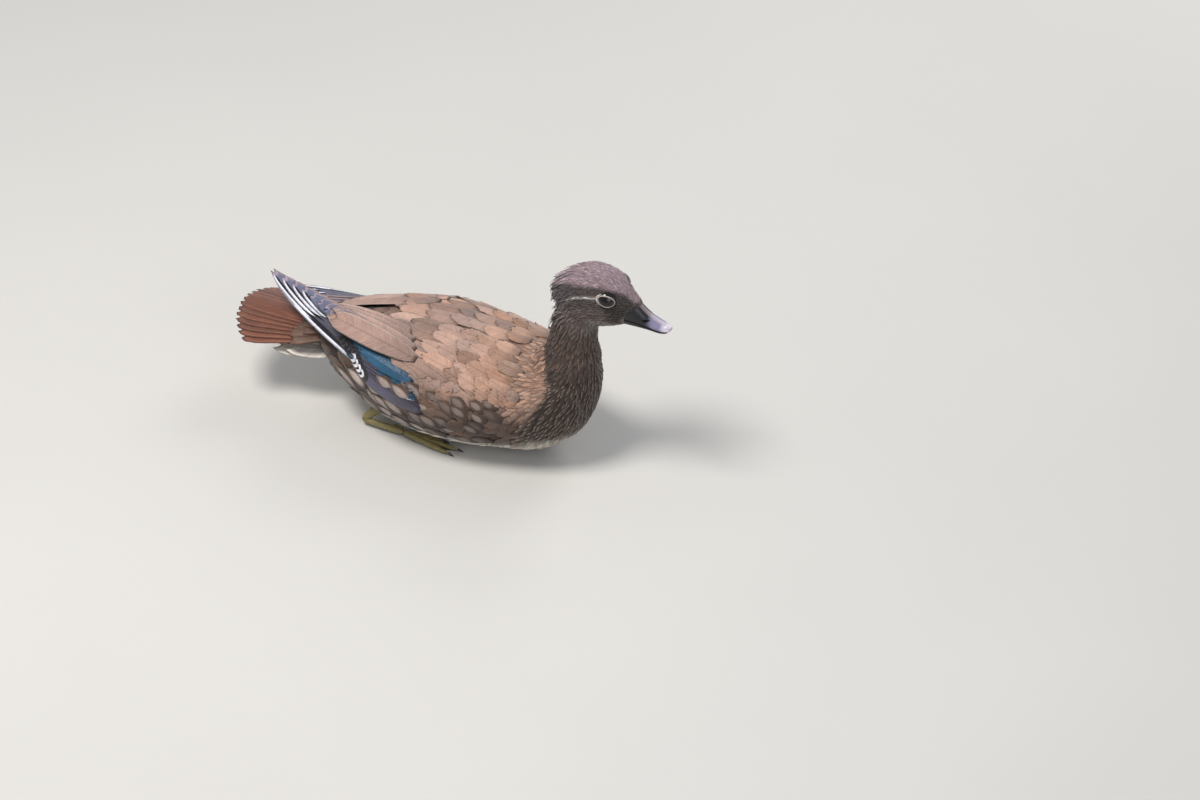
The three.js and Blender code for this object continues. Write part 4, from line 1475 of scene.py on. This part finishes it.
class Crest:
    """The short hanging crest: fine plumes from the rear crown that lie over the nape."""

    share = 0.6

    def build(self, coat: Coat, roots: Batch) -> bpy.types.Object:
        """Lays longer plumes at some of the rear head's roots.

        Args:
            coat: lays the plumes.
            roots: the head's own plumes, whose places and lie are used.

        Returns:
            The plumes as one mesh.
        """
        rng = coat.rng
        x, _, z = roots.roots.T
        rear = smooth(-x, -103, -88) * smooth(z, 114, 124)
        batch = roots.part((rear > 0.05) & (rng.random(len(roots)) < self.share))
        count = len(batch)
        rear = smooth(-batch.roots[:, 0], -103, -88)
        batch.lengths = (6.5 + 6 * rear) * rng.normal(1, 0.1, count)
        batch.widths = rng.normal(1.25, 0.12, count)
        batch.rises = (0.6 + 1.7 * rear) * rng.normal(1, 0.12, count)
        return coat.lay("plumes_crest", batch, LOCK)


@dataclass(frozen=True)
class Fan:
    """A row of tail coverts that spread from the rump."""

    count: int
    spread: float
    root: float
    length: float
    shorter: float
    width: float
    height: float
    drop: float
    fall: float
    arch: float


@dataclass(frozen=True)
class Tail:
    """The tail: a fan of rectrices with coverts over and under it."""

    coat: Coat
    count: int = 14
    spread: float = 23.0
    root: float = -84.0
    length: float = 76.0
    shorter: float = 9.0
    width: float = 15.0
    height: float = 54.0
    drop: float = 3.2
    # The right half lies this much over the left one.
    lap: float = 0.25
    fall: tuple[float, float] = (-2.5, 5)
    root_apart: float = 6.0
    tilt: float = 0.6
    over: tuple[Fan, ...] = (
        Fan(7, 27, -80, 42, 5, 15, 57.8, 3, 5, 3),
        Fan(5, 16, -76, 34, 0, 15, 61, 2, 5, 3),
    )
    under: tuple[Fan, ...] = (
        Fan(6, 21.3, -84, 48, 5, 17, 44.5, 3, 2, -4),
        Fan(5, 24, -80, 38, 0, 17, 40.5, -1, 0, -4),
    )
    rusty: ClassVar[np.ndarray] = colour(110, 66, 48)
    brown: ClassVar[np.ndarray] = colour(92, 66, 52)
    white: ClassVar[np.ndarray] = colour(212, 204, 192)

    def build(self, finishes: dict[str, bpy.types.Material]) -> Iterator[bpy.types.Object]:
        """Makes the rectrices and the coverts.

        Args:
            finishes: the materials by name.

        Returns:
            Each piece, already dressed.
        """
        groups = (
            ("rectrices", self._rectrices(), RECTRIX, "tail", self.rusty, 1),
            ("tail_coverts_upper", self._coverts(self.over), BROAD, "tail", self.brown, 1),
            ("tail_coverts_under", self._coverts(self.under), BROAD, "plain", self.white, -1),
        )
        for name, blades, vane, finish, shade, face in groups:
            piece = self.coat.free(name, blades, vane, one_tint(shade, len(blades)), face)
            piece.data.materials.append(finishes[finish])
            yield piece

    def _rectrices(self) -> list[Blade]:
        """The fan's feathers, from the outermost in."""
        blades = []
        for share in sorted(np.linspace(-1, 1, self.count), key=lambda share: -abs(share)):
            low = abs(share)
            height = self.height - self.drop * low + self.lap * (share > 0)
            fall = self.fall[0] + self.fall[1] * low**2
            long = self.length - self.shorter * low**2
            blades.append(self._feather(self.spread * share, self.root, long, self.width, height, fall))
        return blades

    def _coverts(self, fans: Sequence[Fan]) -> list[Blade]:
        """The coverts of some rows, from one side to the other."""
        return [
            self._feather(
                fan.spread * share, fan.root, fan.length - fan.shorter * abs(share), fan.width,
                fan.height - fan.drop * share**2, fan.fall, fan.arch,
            )
            for fan in fans
            for share in np.linspace(-1, 1, fan.count)
        ]

    def _feather(
        self, turn: float, root: float, long: float, width: float, height: float, fall: float, arch: float = 0.0
    ) -> Blade:
        """One tail feather that leaves the rump at an angle.

        Args:
            turn: degrees from straight back.
            root: station of its root.
            long: its length.
            width: its width.
            height: its root's height.
            fall: how far its tip lies lower.
            arch: how far its middle stands up.

        Returns:
            The feather.
        """
        angle = math.radians(turn)
        start = np.array([root, self.root_apart * math.sin(2 * angle), height])
        tip = start + np.array([-math.cos(angle), math.sin(angle), 0]) * long - np.array([0, 0, fall])
        middle = (start + tip) / 2 + np.array([0, 0, arch])
        out = unit(np.array([0, self.tilt * math.sin(angle), 1.0]))
        return Blade(start, middle, tip, out, out, width)


@dataclass(frozen=True)
class HornFinish:
    """The bill's horn: black at the base and nostril, lilac-grey ahead, pale at the nail, with a painted highlight
    along the ridge.
    """

    name: str = "bill_horn"
    dark: np.ndarray = field(default_factory=lambda: colour(22, 20, 23))
    body: np.ndarray = field(default_factory=lambda: colour(116, 112, 138))
    nail: np.ndarray = field(default_factory=lambda: colour(186, 178, 190))

    def make(self) -> bpy.types.Material:
        """Builds the material."""
        n = Nodes(self.name, 0.34)
        x, y, z = n.add("ShaderNodeSeparateXYZ", {0: n.place()}).outputs
        grain = n.noise(n.place(), 900.0, 4.0)
        forward = n.math("ADD", x, n.math("MULTIPLY", n.math("SUBTRACT", n.noise(n.place(), 260.0), 0.5), 0.006))
        shade = n.mix(n.step(forward, 0.1475, 0.1535), self.dark, self.body)
        # Painted highlight: a pale pinkish stripe along the top of the ridge, where the light falls on it.
        ridge_highlight = n.math("MULTIPLY", n.step(n.math("ABSOLUTE", y), 0.0028, 0.0012), 0.45)
        shade = n.mix(ridge_highlight, shade, colour(168, 152, 152))
        shade = n.mix(n.step(forward, 0.158, 0.162), shade, self.nail)
        level = n.math("ADD", z, n.math("MULTIPLY", x, 0.25))
        shade = n.mix(n.math("MULTIPLY", n.step(level, 0.1652, 0.1643), 0.85), shade, self.dark)
        shade = n.scaled(shade, n.math("ADD", 0.86, n.math("MULTIPLY", grain, 0.28)))
        return n.finish(shade, grain, 0.12 * MM)


class Bill:
    """The bill: a flat-tipped upper mandible with nostrils and a nail, over a thinner lower one."""

    nostril_place = (148.6, 5.0, 130.6)
    nostril_size = (2.7, 1.6, 1.0)
    nail_place = (161.2, 0.0, 126.0)
    nail_size = (4.6, 3.2, 1.9)

    def build(self) -> Iterator[bpy.types.Object]:
        """Makes both mandibles."""
        horn = HornFinish().make()
        upper = form_ball("bill_upper_horn", BILL_UPPER, 72, 96)
        nail = self._bead("nail", self.nail_place, self.nail_size, 0.0)
        modify(upper, "BOOLEAN", operation="UNION", object=nail, solver="EXACT")
        bpy.data.objects.remove(nail)
        for side in SIDES.values():
            pit = self._bead("pit", np.array(self.nostril_place) * (1, side, 1), self.nostril_size, side * -0.42)
            modify(upper, "BOOLEAN", operation="DIFFERENCE", object=pit, solver="EXACT")
            bpy.data.objects.remove(pit)
        lower = form_ball("bill_lower_horn", BILL_LOWER, 56, 64)
        for piece in (upper, lower):
            piece.data.materials.append(horn)
            select_only(piece)
            bpy.ops.object.shade_smooth_by_angle(angle=math.radians(40))
            yield piece

    @staticmethod
    def _bead(name: str, place: Sequence[float], size: Sequence[float], turn: float) -> bpy.types.Object:
        """A small turned ellipsoid."""
        cos, sin = math.cos(turn), math.sin(turn)

        def at(t: np.ndarray, across: np.ndarray, up: np.ndarray) -> np.ndarray:
            """A point from the run along the axis and the ring's two directions."""
            ring = np.sqrt(np.maximum(1 - t * t, 0))
            x, y, z = size[0] * t, size[1] * ring * across, size[2] * ring * up
            return np.stack([x * cos - y * sin, x * sin + y * cos, z], -1) + np.array(place)

        return shaped_ball(name, 24, 20, at)


@dataclass(frozen=True)
class EyeFinish:
    """A very dark brown iris round a black pupil, under a clear gloss."""

    name: str
    middle: tuple[float, float, float]

    def make(self) -> bpy.types.Material:
        """Builds the material, its rings centred on the eye's pole."""
        n = Nodes(self.name, 0.08)
        n.set(Specular_IOR_Level=0.4, Coat_Weight=0.2, Coat_Roughness=0.03)
        away = n.add("ShaderNodeVectorMath", {0: n.place(), 1: self.middle}, operation="DISTANCE").outputs["Value"]
        iris = n.mix(n.noise(n.place(), 2500.0), colour(13, 8, 6), colour(24, 15, 10))
        return n.finish(n.mix(n.step(away, 0.0028, 0.0031), colour(2, 2, 3), iris))


@dataclass(frozen=True)
class GrainFinish:
    """A finish of two colours that a fine grain blends and raises: the eye's rim and the claws."""

    name: str
    roughness: float
    scale: float
    low: np.ndarray
    high: np.ndarray
    depth: float

    def make(self) -> bpy.types.Material:
        """Builds the material."""
        n = Nodes(self.name, self.roughness)
        grain = n.noise(n.place(), self.scale)
        return n.finish(n.mix(grain, self.low, self.high), grain, self.depth * MM)


class Eye:
    """One eye: the glossy ball, its naked rim and the ring of pale plumes round it."""

    place = (123.4, 15.4, 145.6)
    radius = 7.0
    sunk = 4.9
    turn, tilt = 0.34, 0.26
    opening = (5.7, 3.6)
    rim = 0.42

    def __init__(self, name: str, coat: Coat) -> None:
        """Works out the eye's centre and the way it looks."""
        self.name = name
        self.side = SIDES[name]
        self.coat = coat
        self.out = unit(np.array([self.turn, self.side, self.tilt]))
        self.centre = np.array([self.place[0], self.side * self.place[1], self.place[2]]) - self.out * self.sunk
        level = np.array([1.0, 0.0, -0.18])
        self.forward = unit(level - self.out * float(level @ self.out))
        self.up = np.cross(self.forward, self.out) * self.side

    def ring(self, angle: np.ndarray, grow: float, height: float) -> np.ndarray:
        """Points round the eye's opening, on a ball so much larger than the eye's."""
        long, high = self.opening
        flat = np.stack([(long + grow) * np.cos(angle), (high + grow) * np.sin(angle)], -1)
        depth = np.sqrt(np.maximum((self.radius + height) ** 2 - (flat**2).sum(-1), 0.0))
        return self.centre + flat[..., :1] * self.forward + flat[..., 1:] * self.up + depth[..., None] * self.out

    def build(self) -> Iterator[bpy.types.Object]:
        """Makes the ball, the rim and the plumes."""

        def at(t: np.ndarray, across: np.ndarray, up: np.ndarray) -> np.ndarray:
            """A point from the run along the axis and the ring's two directions."""
            wide = np.sqrt(np.maximum(1 - t * t, 0))[:, None]
            turned = t[:, None] * self.out + wide * (across[:, None] * self.forward + up[:, None] * self.up)
            return self.centre + self.radius * turned

        ball = shaped_ball(f"eyeball_{self.name}", 64, 40, at)
        middle = tuple((self.centre + self.radius * self.out) * MM)
        ball.data.materials.append(EyeFinish(f"eye_gloss_{self.name}", middle).make())
        select_only(ball)
        bpy.ops.object.shade_smooth()
        yield ball
        yield self._lid()
        yield self._plumes()

    def _lid(self) -> bpy.types.Object:
        """The naked rim: a thin dark roll on the ball, round the opening."""
        around, across = 72, 10
        angle = np.linspace(0, 2 * math.pi, around, endpoint=False)
        rows = []
        for turn in np.linspace(0, 2 * math.pi, across, endpoint=False):
            rows.append(self.ring(angle, self.rim * (0.6 + math.cos(turn)), 0.05 + self.rim * math.sin(turn) * 0.75))
        points = np.stack(rows, 1)
        index = np.arange(around * across).reshape(around, across)
        right, up = np.roll(index, -1, 0), np.roll(index, -1, 1)
        quads = np.stack([index, right, np.roll(right, -1, 1), up], -1).reshape(-1, 4)
        lid = joined_quads(f"eyelid_{self.name}", points.reshape(-1, 3), quads)
        select_only(lid)
        face_outward()
        dark, pale = colour(120, 110, 104), colour(178, 168, 160)
        lid.data.materials.append(GrainFinish(f"lid_skin_{self.name}", 0.5, 1800.0, dark, pale, 0.1).make())
        return lid

    def _plumes(self) -> bpy.types.Object:
        """Rings of tiny pale plumes that point away from the eye and back."""
        rng = self.coat.rng
        roots, flows = [], []
        for grow, count in ((0.35, 70), (0.75, 74)):
            angle = np.linspace(0, 2 * math.pi, count, endpoint=False) + rng.normal(0, 0.02, count)
            inner = self.ring(angle, grow, 0.25)
            outer = self.ring(angle, grow + 1.0, 0.25)
            roots.append(inner)
            flows.append(unit(outer - inner) * 0.6 - self.forward * 0.5)
        roots = np.concatenate(roots)
        place, normals = self.coat.surface.nearest(roots)
        flows = np.concatenate(flows)
        flows = unit(flows - normals * dot(flows, normals))
        count = len(roots)
        batch = Batch(place, flows, rng.normal(1.15, 0.1, count), np.full(count, 0.6), np.full(count, 0.6))
        piece = self.coat.lay(f"eye_ring_{self.name}", batch, PLUME, 0.15)
        tint = piece.data.attributes["tint"]
        tint.data.foreach_set("color", one_tint(colour(214, 207, 198), len(tint.data)).astype(np.float32).ravel())
        return piece


@dataclass(frozen=True)
class FootFinish:
    """Scaled olive skin on shank and toes, with dark webs between."""

    name: str = "foot_skin"

    def make(self) -> bpy.types.Material:
        """Builds the material."""
        n = Nodes(self.name, 0.5)
        where = {"Vector": n.place(), "Scale": 620.0}
        cells = n.add("ShaderNodeTexVoronoi", where, feature="DISTANCE_TO_EDGE").outputs[0]
        z = n.add("ShaderNodeSeparateXYZ", {0: n.place()}).outputs[2]
        scale = n.step(cells, 0.02, 0.16)
        tone = n.mix(n.noise(n.place(), 180.0), colour(118, 108, 66), colour(150, 136, 88))
        tone = n.mix(n.step(z, 0.0018, 0.0009), tone, colour(62, 56, 46))
        return n.finish(n.scaled(tone, n.math("ADD", 0.7, n.math("MULTIPLY", scale, 0.3))), scale, 0.15 * MM)


class Foot:
    """One foot tucked under the belly: shank, three webbed toes, hind toe and claws."""

    thigh, heel, knuckle = (-43, 27, 17), (-54, 30, 5.2), (-24, 31, 2.8)
    toe_level = 1.6
    toes = {"inner": (-6, 28), "middle": (2, 41), "outer": (12, 38)}
    hind = ((-26, 28.5, 3), (-34, 25, 2.6))

    def __init__(self, name: str) -> None:
        """Keeps the foot's side."""
        self.name = name
        self.side = SIDES[name]

    def _at(self, point: Sequence[float]) -> np.ndarray:
        """A place given for her left side, put on this side."""
        return np.array([point[0], self.side * point[1], point[2]], float)

    def _end(self, turn: float, length: float) -> np.ndarray:
        """Where a toe ends."""
        angle = math.radians(turn)
        x, y, _ = self.knuckle
        return self._at((x + length * math.cos(angle), y + length * math.sin(angle), self.toe_level))

    def _limb(self, name: str, points: Sequence[np.ndarray], radius: Curve, joints: int) -> bpy.types.Object:
        """A round limb through some points, swollen a little at each joint."""
        stops = np.linspace(0, 1, len(points))
        axes = [Curve(*zip(stops, [p[axis] for p in points])) for axis in range(3)]

        def at(t: np.ndarray, across: np.ndarray, up: np.ndarray) -> np.ndarray:
            """A point from the run along the axis and the ring's two directions."""
            s = (t + 1) / 2
            line = np.stack([axis(s) for axis in axes], -1)
            ahead = np.stack([axis(np.minimum(s + 0.02, 1)) - axis(np.maximum(s - 0.02, 0)) for axis in axes], -1)
            along = unit(ahead)
            level = unit(np.cross(along, np.array([0.0, 0.0, 1.0])) + 1e-6)
            rise = np.cross(level, along)
            thick = radius(s) * (1 + 0.09 * np.cos(2 * math.pi * joints * s)) * np.sqrt(np.maximum(1 - t**8, 0))
            return line + thick[:, None] * (level * across[:, None] + rise * up[:, None])

        return shaped_ball(name, 16, 40, at)

    def build(self, finish: bpy.types.Material, claw_finish: bpy.types.Material) -> Iterator[bpy.types.Object]:
        """Makes the foot and its claws."""
        knuckle = self._at(self.knuckle)
        shank_radius = Curve((0, 3.4), (0.4, 2.9), (0.7, 2.3), (1, 2.7))
        parts = [self._limb("shank", [self._at(self.thigh), self._at(self.heel), knuckle], shank_radius, 1)]
        toe_radius = Curve((0, 2.3), (0.5, 2.0), (1, 1.7))
        ends = {name: self._end(*toe) for name, toe in self.toes.items()}
        for name, end in ends.items():
            parts.append(self._limb(name, [knuckle, (knuckle + end) / 2, end], toe_radius, 3))
        start, stop = (self._at(point) for point in self.hind)
        parts.append(self._limb("hind", [start, (start + stop) / 2, stop], Curve((0, 1.6), (1, 1.1)), 1))
        listed = list(ends.values())
        parts += [self._web(knuckle, listed[i], listed[i + 1]) for i in range(2)]
        select_only(*parts)
        bpy.ops.object.join()
        foot = bpy.context.object
        foot.name = foot.data.name = f"foot_skin_{self.name}"
        points = points_of(foot)
        points[:, 2] = np.maximum(points[:, 2], 0.05)
        move_points(foot, points)
        foot.data.materials.append(finish)
        bpy.ops.object.shade_smooth()
        yield foot
        for name, (turn, length) in self.toes.items():
            end = ends[name]
            ahead = unit((end - knuckle) * (1, 1, 0))
            claw = self._claw(f"claw_horn_{self.name}_{name}", end + ahead * 1.2 + (0, 0, 0.25), ahead)
            claw.data.materials.append(claw_finish)
            yield claw

    def _web(self, knuckle: np.ndarray, a: np.ndarray, b: np.ndarray) -> bpy.types.Object:
        """The skin between two toes, sagging a little and hollow at its free edge."""
        rows, columns = 12, 8
        v, u = np.meshgrid(np.linspace(0.04, 1, rows), np.linspace(0, 1, columns), indexing="ij")
        reach = v * (1 - 0.16 * np.sin(math.pi * u) * v)
        edge = a * (1 - u[..., None]) + b * u[..., None]
        top = knuckle + (edge - knuckle) * reach[..., None]
        ripple = 0.22 * np.sin(5 * math.pi * u) * np.sin(math.pi * u)
        top[..., 2] = 1.0 - 0.35 * np.sin(math.pi * u) * v + ripple * v
        under = top.copy()
        under[..., 2] -= 0.6
        sheet = np.arange(rows * columns).reshape(rows, columns)
        rim = np.concatenate([sheet[0], sheet[1:, -1], sheet[-1, -2::-1], sheet[-2:0:-1, 0]])
        ahead = np.roll(rim, -1)
        sides = np.stack([rim, ahead, ahead + sheet.size, rim + sheet.size], -1)
        faces = np.concatenate([sheet_quads(sheet), sheet_quads(sheet + sheet.size, -1), sides])
        web = joined_quads("web", np.concatenate([top.reshape(-1, 3), under.reshape(-1, 3)]), faces)
        select_only(web)
        face_outward()
        return web

    @staticmethod
    def _claw(name: str, root: np.ndarray, ahead: np.ndarray) -> bpy.types.Object:
        """A small bent cone of horn."""
        level = np.cross(ahead, (0, 0, 1.0))

        def at(t: np.ndarray, across: np.ndarray, up: np.ndarray) -> np.ndarray:
            """A point from the run along the axis and the ring's two directions."""
            s = (t + 1) / 2
            thick = 1.15 * (1 - s) ** 0.7 * np.sqrt(np.maximum(1 - t**12, 0)) + 0.02
            line = root + ahead * (5.2 * s)[:, None] - np.array([0, 0, 1.0]) * (0.9 * s**2)[:, None]
            return line + thick[:, None] * (level * across[:, None] * 0.8 + np.array([0, 0, 1.0]) * up[:, None])

        claw = shaped_ball(name, 14, 18, at)
        select_only(claw)
        bpy.ops.object.shade_smooth()
        return claw


@dataclass(frozen=True)
class Lamp:
    """A round soft light: its place and size in metres, its power in watts and its tone."""

    place: tuple[float, float, float]
    size: float
    power: float
    tone: tuple[float, float, float]


@dataclass(frozen=True)
class Studio:
    """The pale floor, the soft lights and the camera at the photograph's angle. Sizes are in metres."""

    azimuth: float = math.radians(25.0)
    elevation: float = math.radians(35.0)
    distance: float = 6.0
    frame_width: float = 0.828
    target: tuple[float, float, float] = (0.1024, 0.0199, 0.0353)
    sensor: float = 36.0
    clip_end: float = 50.0
    sky: tuple[float, float, float, float] = (0.86, 0.9, 1.0, 1.0)
    sky_strength: float = 0.5
    key: Lamp = Lamp((-0.35, -0.55, 1.5), 0.6, 25.0, (1.0, 0.97, 0.93))
    fill: Lamp = Lamp((1.3, -1.0, 0.8), 1.2, 7.0, (0.93, 0.96, 1.0))
    back: Lamp = Lamp((0.3, 1.3, 0.9), 0.9, 9.0, (1.0, 0.99, 0.97))
    lit: tuple[float, float, float] = (0, 0, 0.06)
    floor_size: float = 14.0
    floor_roughness: float = 0.8
    floor_scale: float = 3.0
    floor_dark: ClassVar[np.ndarray] = colour(186, 184, 179)
    floor_pale: ClassVar[np.ndarray] = colour(193, 191, 186)

    def build(self) -> bpy.types.Object:
        """Makes the sky, the camera, the lights and the floor.

        Returns:
            The floor.
        """
        scene = bpy.context.scene
        scene.view_settings.view_transform = "Standard"
        world = bpy.data.worlds.new("studio")
        world.use_nodes = True
        tone, strength = world.node_tree.nodes["Background"].inputs[:2]
        tone.default_value, strength.default_value = self.sky, self.sky_strength
        scene.world = world
        level = math.cos(self.elevation)
        across, back = math.sin(self.azimuth) * level, -math.cos(self.azimuth) * level
        away = Vector((across, back, math.sin(self.elevation)))
        data = bpy.data.cameras.new("camera")
        data.sensor_width = self.sensor
        data.lens = self.sensor * self.distance / self.frame_width
        data.clip_end = self.clip_end
        scene.camera = self._placed("camera", data, Vector(self.target) + away * self.distance, -away)
        for name, lamp in (("key", self.key), ("fill", self.fill), ("back", self.back)):
            data = bpy.data.lights.new(name, "AREA")
            data.shape, data.size, data.energy, data.color = "DISK", lamp.size, lamp.power, lamp.tone
            self._placed(name, data, Vector(lamp.place), Vector(self.lit) - Vector(lamp.place))
        return self._floor()

    @staticmethod
    def _placed(name: str, data: bpy.types.ID, place: Vector, look: Vector) -> bpy.types.Object:
        """An object in the scene that looks a given way.

        Args:
            name: its name.
            data: the camera or light it shows.
            place: where it is.
            look: the way it looks.

        Returns:
            The object.
        """
        obj = bpy.data.objects.new(name, data)
        obj.location = place
        obj.rotation_euler = look.to_track_quat("-Z", "Y").to_euler()
        bpy.context.scene.collection.objects.link(obj)
        return obj

    def _floor(self) -> bpy.types.Object:
        """A wide plain pale floor."""
        bpy.ops.object.select_all(action="DESELECT")
        bpy.ops.mesh.primitive_plane_add(size=self.floor_size)
        floor = bpy.context.object
        floor.name = floor.data.name = "floor"
        n = Nodes("pale_floor", self.floor_roughness)
        shade = n.mix(n.noise(n.place(), self.floor_scale), self.floor_dark, self.floor_pale)
        floor.data.materials.append(n.finish(shade))
        return floor


def feather_finishes() -> dict[str, bpy.types.Material]:
    """Every kind of vane's material.

    Returns:
        The materials by name.
    """
    speckled = {"edge": 0.0, "shaft": 0.0, "mottle": 1.0, "base_dark_and_shade": 0.5}
    glossy = {"edge": 0.0, "base_dark_and_shade": 0.1}
    kinds = {
        "plain": {},
        "head": {"roughness": 0.5, "sheen": 0.3, "depth": 0.05, **speckled},
        "neck": {"depth": 0.06, **speckled},
        "breast": {
            "pattern": Pattern.STREAK, "accent": colour(146, 128, 112), "ground": 0.8, "oval": (0.3, 0.8, 0.2),
        },
        "flank": {
            "pattern": Pattern.SPOT, "accent": colour(194, 176, 166), "ground": 0.6,
            "edge": 0.0, "shaft": 0.05, "streak": 0.7, "mottle": 0.4,
        },
        "mantle": {"edge": 0.05, "shaft": 0.08, "mottle": 0.6, "base_dark_and_shade": 0.42},
        "covert": {"edge": 0.25, "mottle": 0.35},
        "scapular": {"edge": 0.2, "mottle": 0.55, "base_dark_and_shade": 0.42},
        "tertial": {"pattern": Pattern.TERTIAL, "roughness": 0.5, "edge": 0.1},
        "primary": {"pattern": Pattern.PRIMARY, "roughness": 0.42, **glossy},
        "speculum": {"pattern": Pattern.SPECULUM, "roughness": 0.3, **glossy},
        "tail": {"pattern": Pattern.TAIL, "roughness": 0.4, "mottle": 0.4, "edge": 0.1, "ground": 0.78},
    }
    return {name: FeatherFinish(f"feather_{name}", **settings).make() for name, settings in kinds.items()}


class Duck:
    """The whole bird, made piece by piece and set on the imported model."""

    # Painted shade: the skin shows the coat's colours at 40 to 80 per cent, as in the gaps between feathers.
    skin_gain = (0.4, 0.4)
    skin_depth = 0.4
    skin_scale = 900.0
    skin_roughness = 0.9
    # Where contour feathers are left out, because the wing's own rows lie there: x, degrees and z.
    arm_x, arm_above, arm_below = (-46, 62), 14, 90
    panel_x, panel_degrees = (-76, -30), (2, 56)
    # Where one group of contour feathers ends and the next begins.
    head_above, head_behind, face_behind = 112, 60, 108
    neck_above, neck_behind = 78, 66
    breast_lap = 2
    flank_z, flank_behind, rump_above = (15, 56), -40, 24

    def __init__(self) -> None:
        """Makes the markings and the finishes."""
        self.plumage = Plumage()
        self.finishes = feather_finishes()

    def build(self) -> None:
        """Makes every piece, rides it on the body and hides the model's parts that it stands for."""
        skin = Skin().build()
        self._dress_skin(skin)
        self._add(skin, "body_feathers", "torso", "neck", "head")
        coat = Coat(Surface(skin), self.plumage)
        for piece in self._contour(coat):
            is_head = "head" in piece.name or "face" in piece.name
            self._add(piece, "head_feathers" if is_head else "body_feathers")
        for name in SIDES:
            for piece in Wing(name, coat).build(self.finishes):
                self._add(piece, "wing_feathers", f"wing_{name}")
            ball, lid, plumes = Eye(name, coat).build()
            plumes.data.materials.append(self.finishes["plain"])
            self._add(ball, "eye", f"eye_{name}")
            self._add(lid, "head_feathers")
            self._add(plumes, "head_feathers")
        for piece in Tail(coat).build(self.finishes):
            self._add(piece, "tail_feathers", "tail")
        for piece in Bill().build():
            self._add(piece, "bill_horn", piece.name.removesuffix("_horn"))
        foot_finish = FootFinish().make()
        claw_finish = GrainFinish("claw_horn", 0.4, 700.0, colour(36, 31, 28), colour(66, 56, 48), 0.08).make()
        for name in SIDES:
            foot, *claws = Foot(name).build(foot_finish, claw_finish)
            self._add(foot, "foot_skin", f"foot_{name}")
            for claw in claws:
                self._add(claw, "claw_horn", claw.name.replace("claw_horn", "claw"))

    def _dress_skin(self, skin: bpy.types.Object) -> None:
        """Gives the skin the coat's markings, darkened as painted shade in the gaps between feathers."""
        set_attribute(skin, "tint", self.plumage.tint(points_of(skin)))
        n = Nodes("skin_down", self.skin_roughness)
        tint = n.add("ShaderNodeAttribute", attribute_name="tint").outputs["Color"]
        down = n.noise(n.place(), self.skin_scale, 4.0)
        gain = n.plus(self.skin_gain[0], n.times(down, self.skin_gain[1]))
        skin.data.materials.append(n.finish(n.scaled(tint, gain), down, self.skin_depth * MM))

    def _contour(self, coat: Coat) -> Iterator[bpy.types.Object]:
        """The scattered feathers, shared out to pieces by where they grow.

        Args:
            coat: lays the feathers.

        Returns:
            Each piece, already dressed.
        """
        batch = ContourFeathers().scatter(coat.surface, coat.rng)
        x, y, z = batch.roots.T
        degrees = np.degrees(np.arctan2((z - TORSO.wide(x)), np.abs(y)))
        on_arm = (x > self.arm_x[0]) & (x < self.arm_x[1]) & (degrees > self.arm_above) & (z < self.arm_below)
        on_panel = (x > self.panel_x[0]) & (x <= self.panel_x[1])
        on_panel &= (degrees > self.panel_degrees[0]) & (degrees < self.panel_degrees[1])
        is_head = (head_height(x, z) > self.head_above) & (x > self.head_behind)
        face = is_head & (x > self.face_behind)
        is_neck = ~is_head & (z > self.neck_above) & (x > self.neck_behind)
        breast = ~is_head & ~is_neck & (x > BREAST_EDGE(z) - self.breast_lap)
        rest = ~(is_head | is_neck | breast | on_arm | on_panel)
        flank = rest & (z > self.flank_z[0]) & (z < self.flank_z[1]) & (x > self.flank_behind)
        mantle = rest & (z >= self.flank_z[1])
        rump = rest & ~flank & ~mantle & (z > self.rump_above)
        groups = {
            "plumes_face": (face, PLUME, "head"),
            "plumes_head": (is_head & ~face, PLUME, "head"),
            "plumes_neck": (is_neck, NECK_PLUME, "neck"),
            "feathers_breast": (breast, CONTOUR, "breast"),
            "feathers_flank": (flank, CONTOUR, "covert"),
            "feathers_mantle": (mantle, CONTOUR, "mantle"),
            "feathers_rump": (rump, CONTOUR, "covert"),
            "feathers_belly": (rest & ~flank & ~mantle & ~rump, CONTOUR, "plain"),
        }
        for name, (keep, vane, finish) in groups.items():
            piece = coat.lay(name, batch.part(keep), vane)
            piece.data.materials.append(self.finishes[finish])
            log.info("%s: %d feathers", name, keep.sum())
            yield piece
        crest = Crest().build(coat, batch.part(is_head & ~face))
        crest.data.materials.append(self.finishes["head"])
        yield crest

    @staticmethod
    def _add(piece: bpy.types.Object, slot: str, *nodes: str) -> None:
        """Rides the piece on the body, hides the model's parts that it stands for, and reports it."""
        if nodes:
            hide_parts(*nodes)
        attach(piece, "root")
        log.info("%s: %d faces", piece.name, len(piece.data.polygons))


def main() -> None:
    """Builds the bird and its studio."""
    logging.basicConfig(level=logging.INFO, format="%(name)s %(message)s")
    Duck().build()
    Studio().build()


if __name__ == "__main__":
    main()
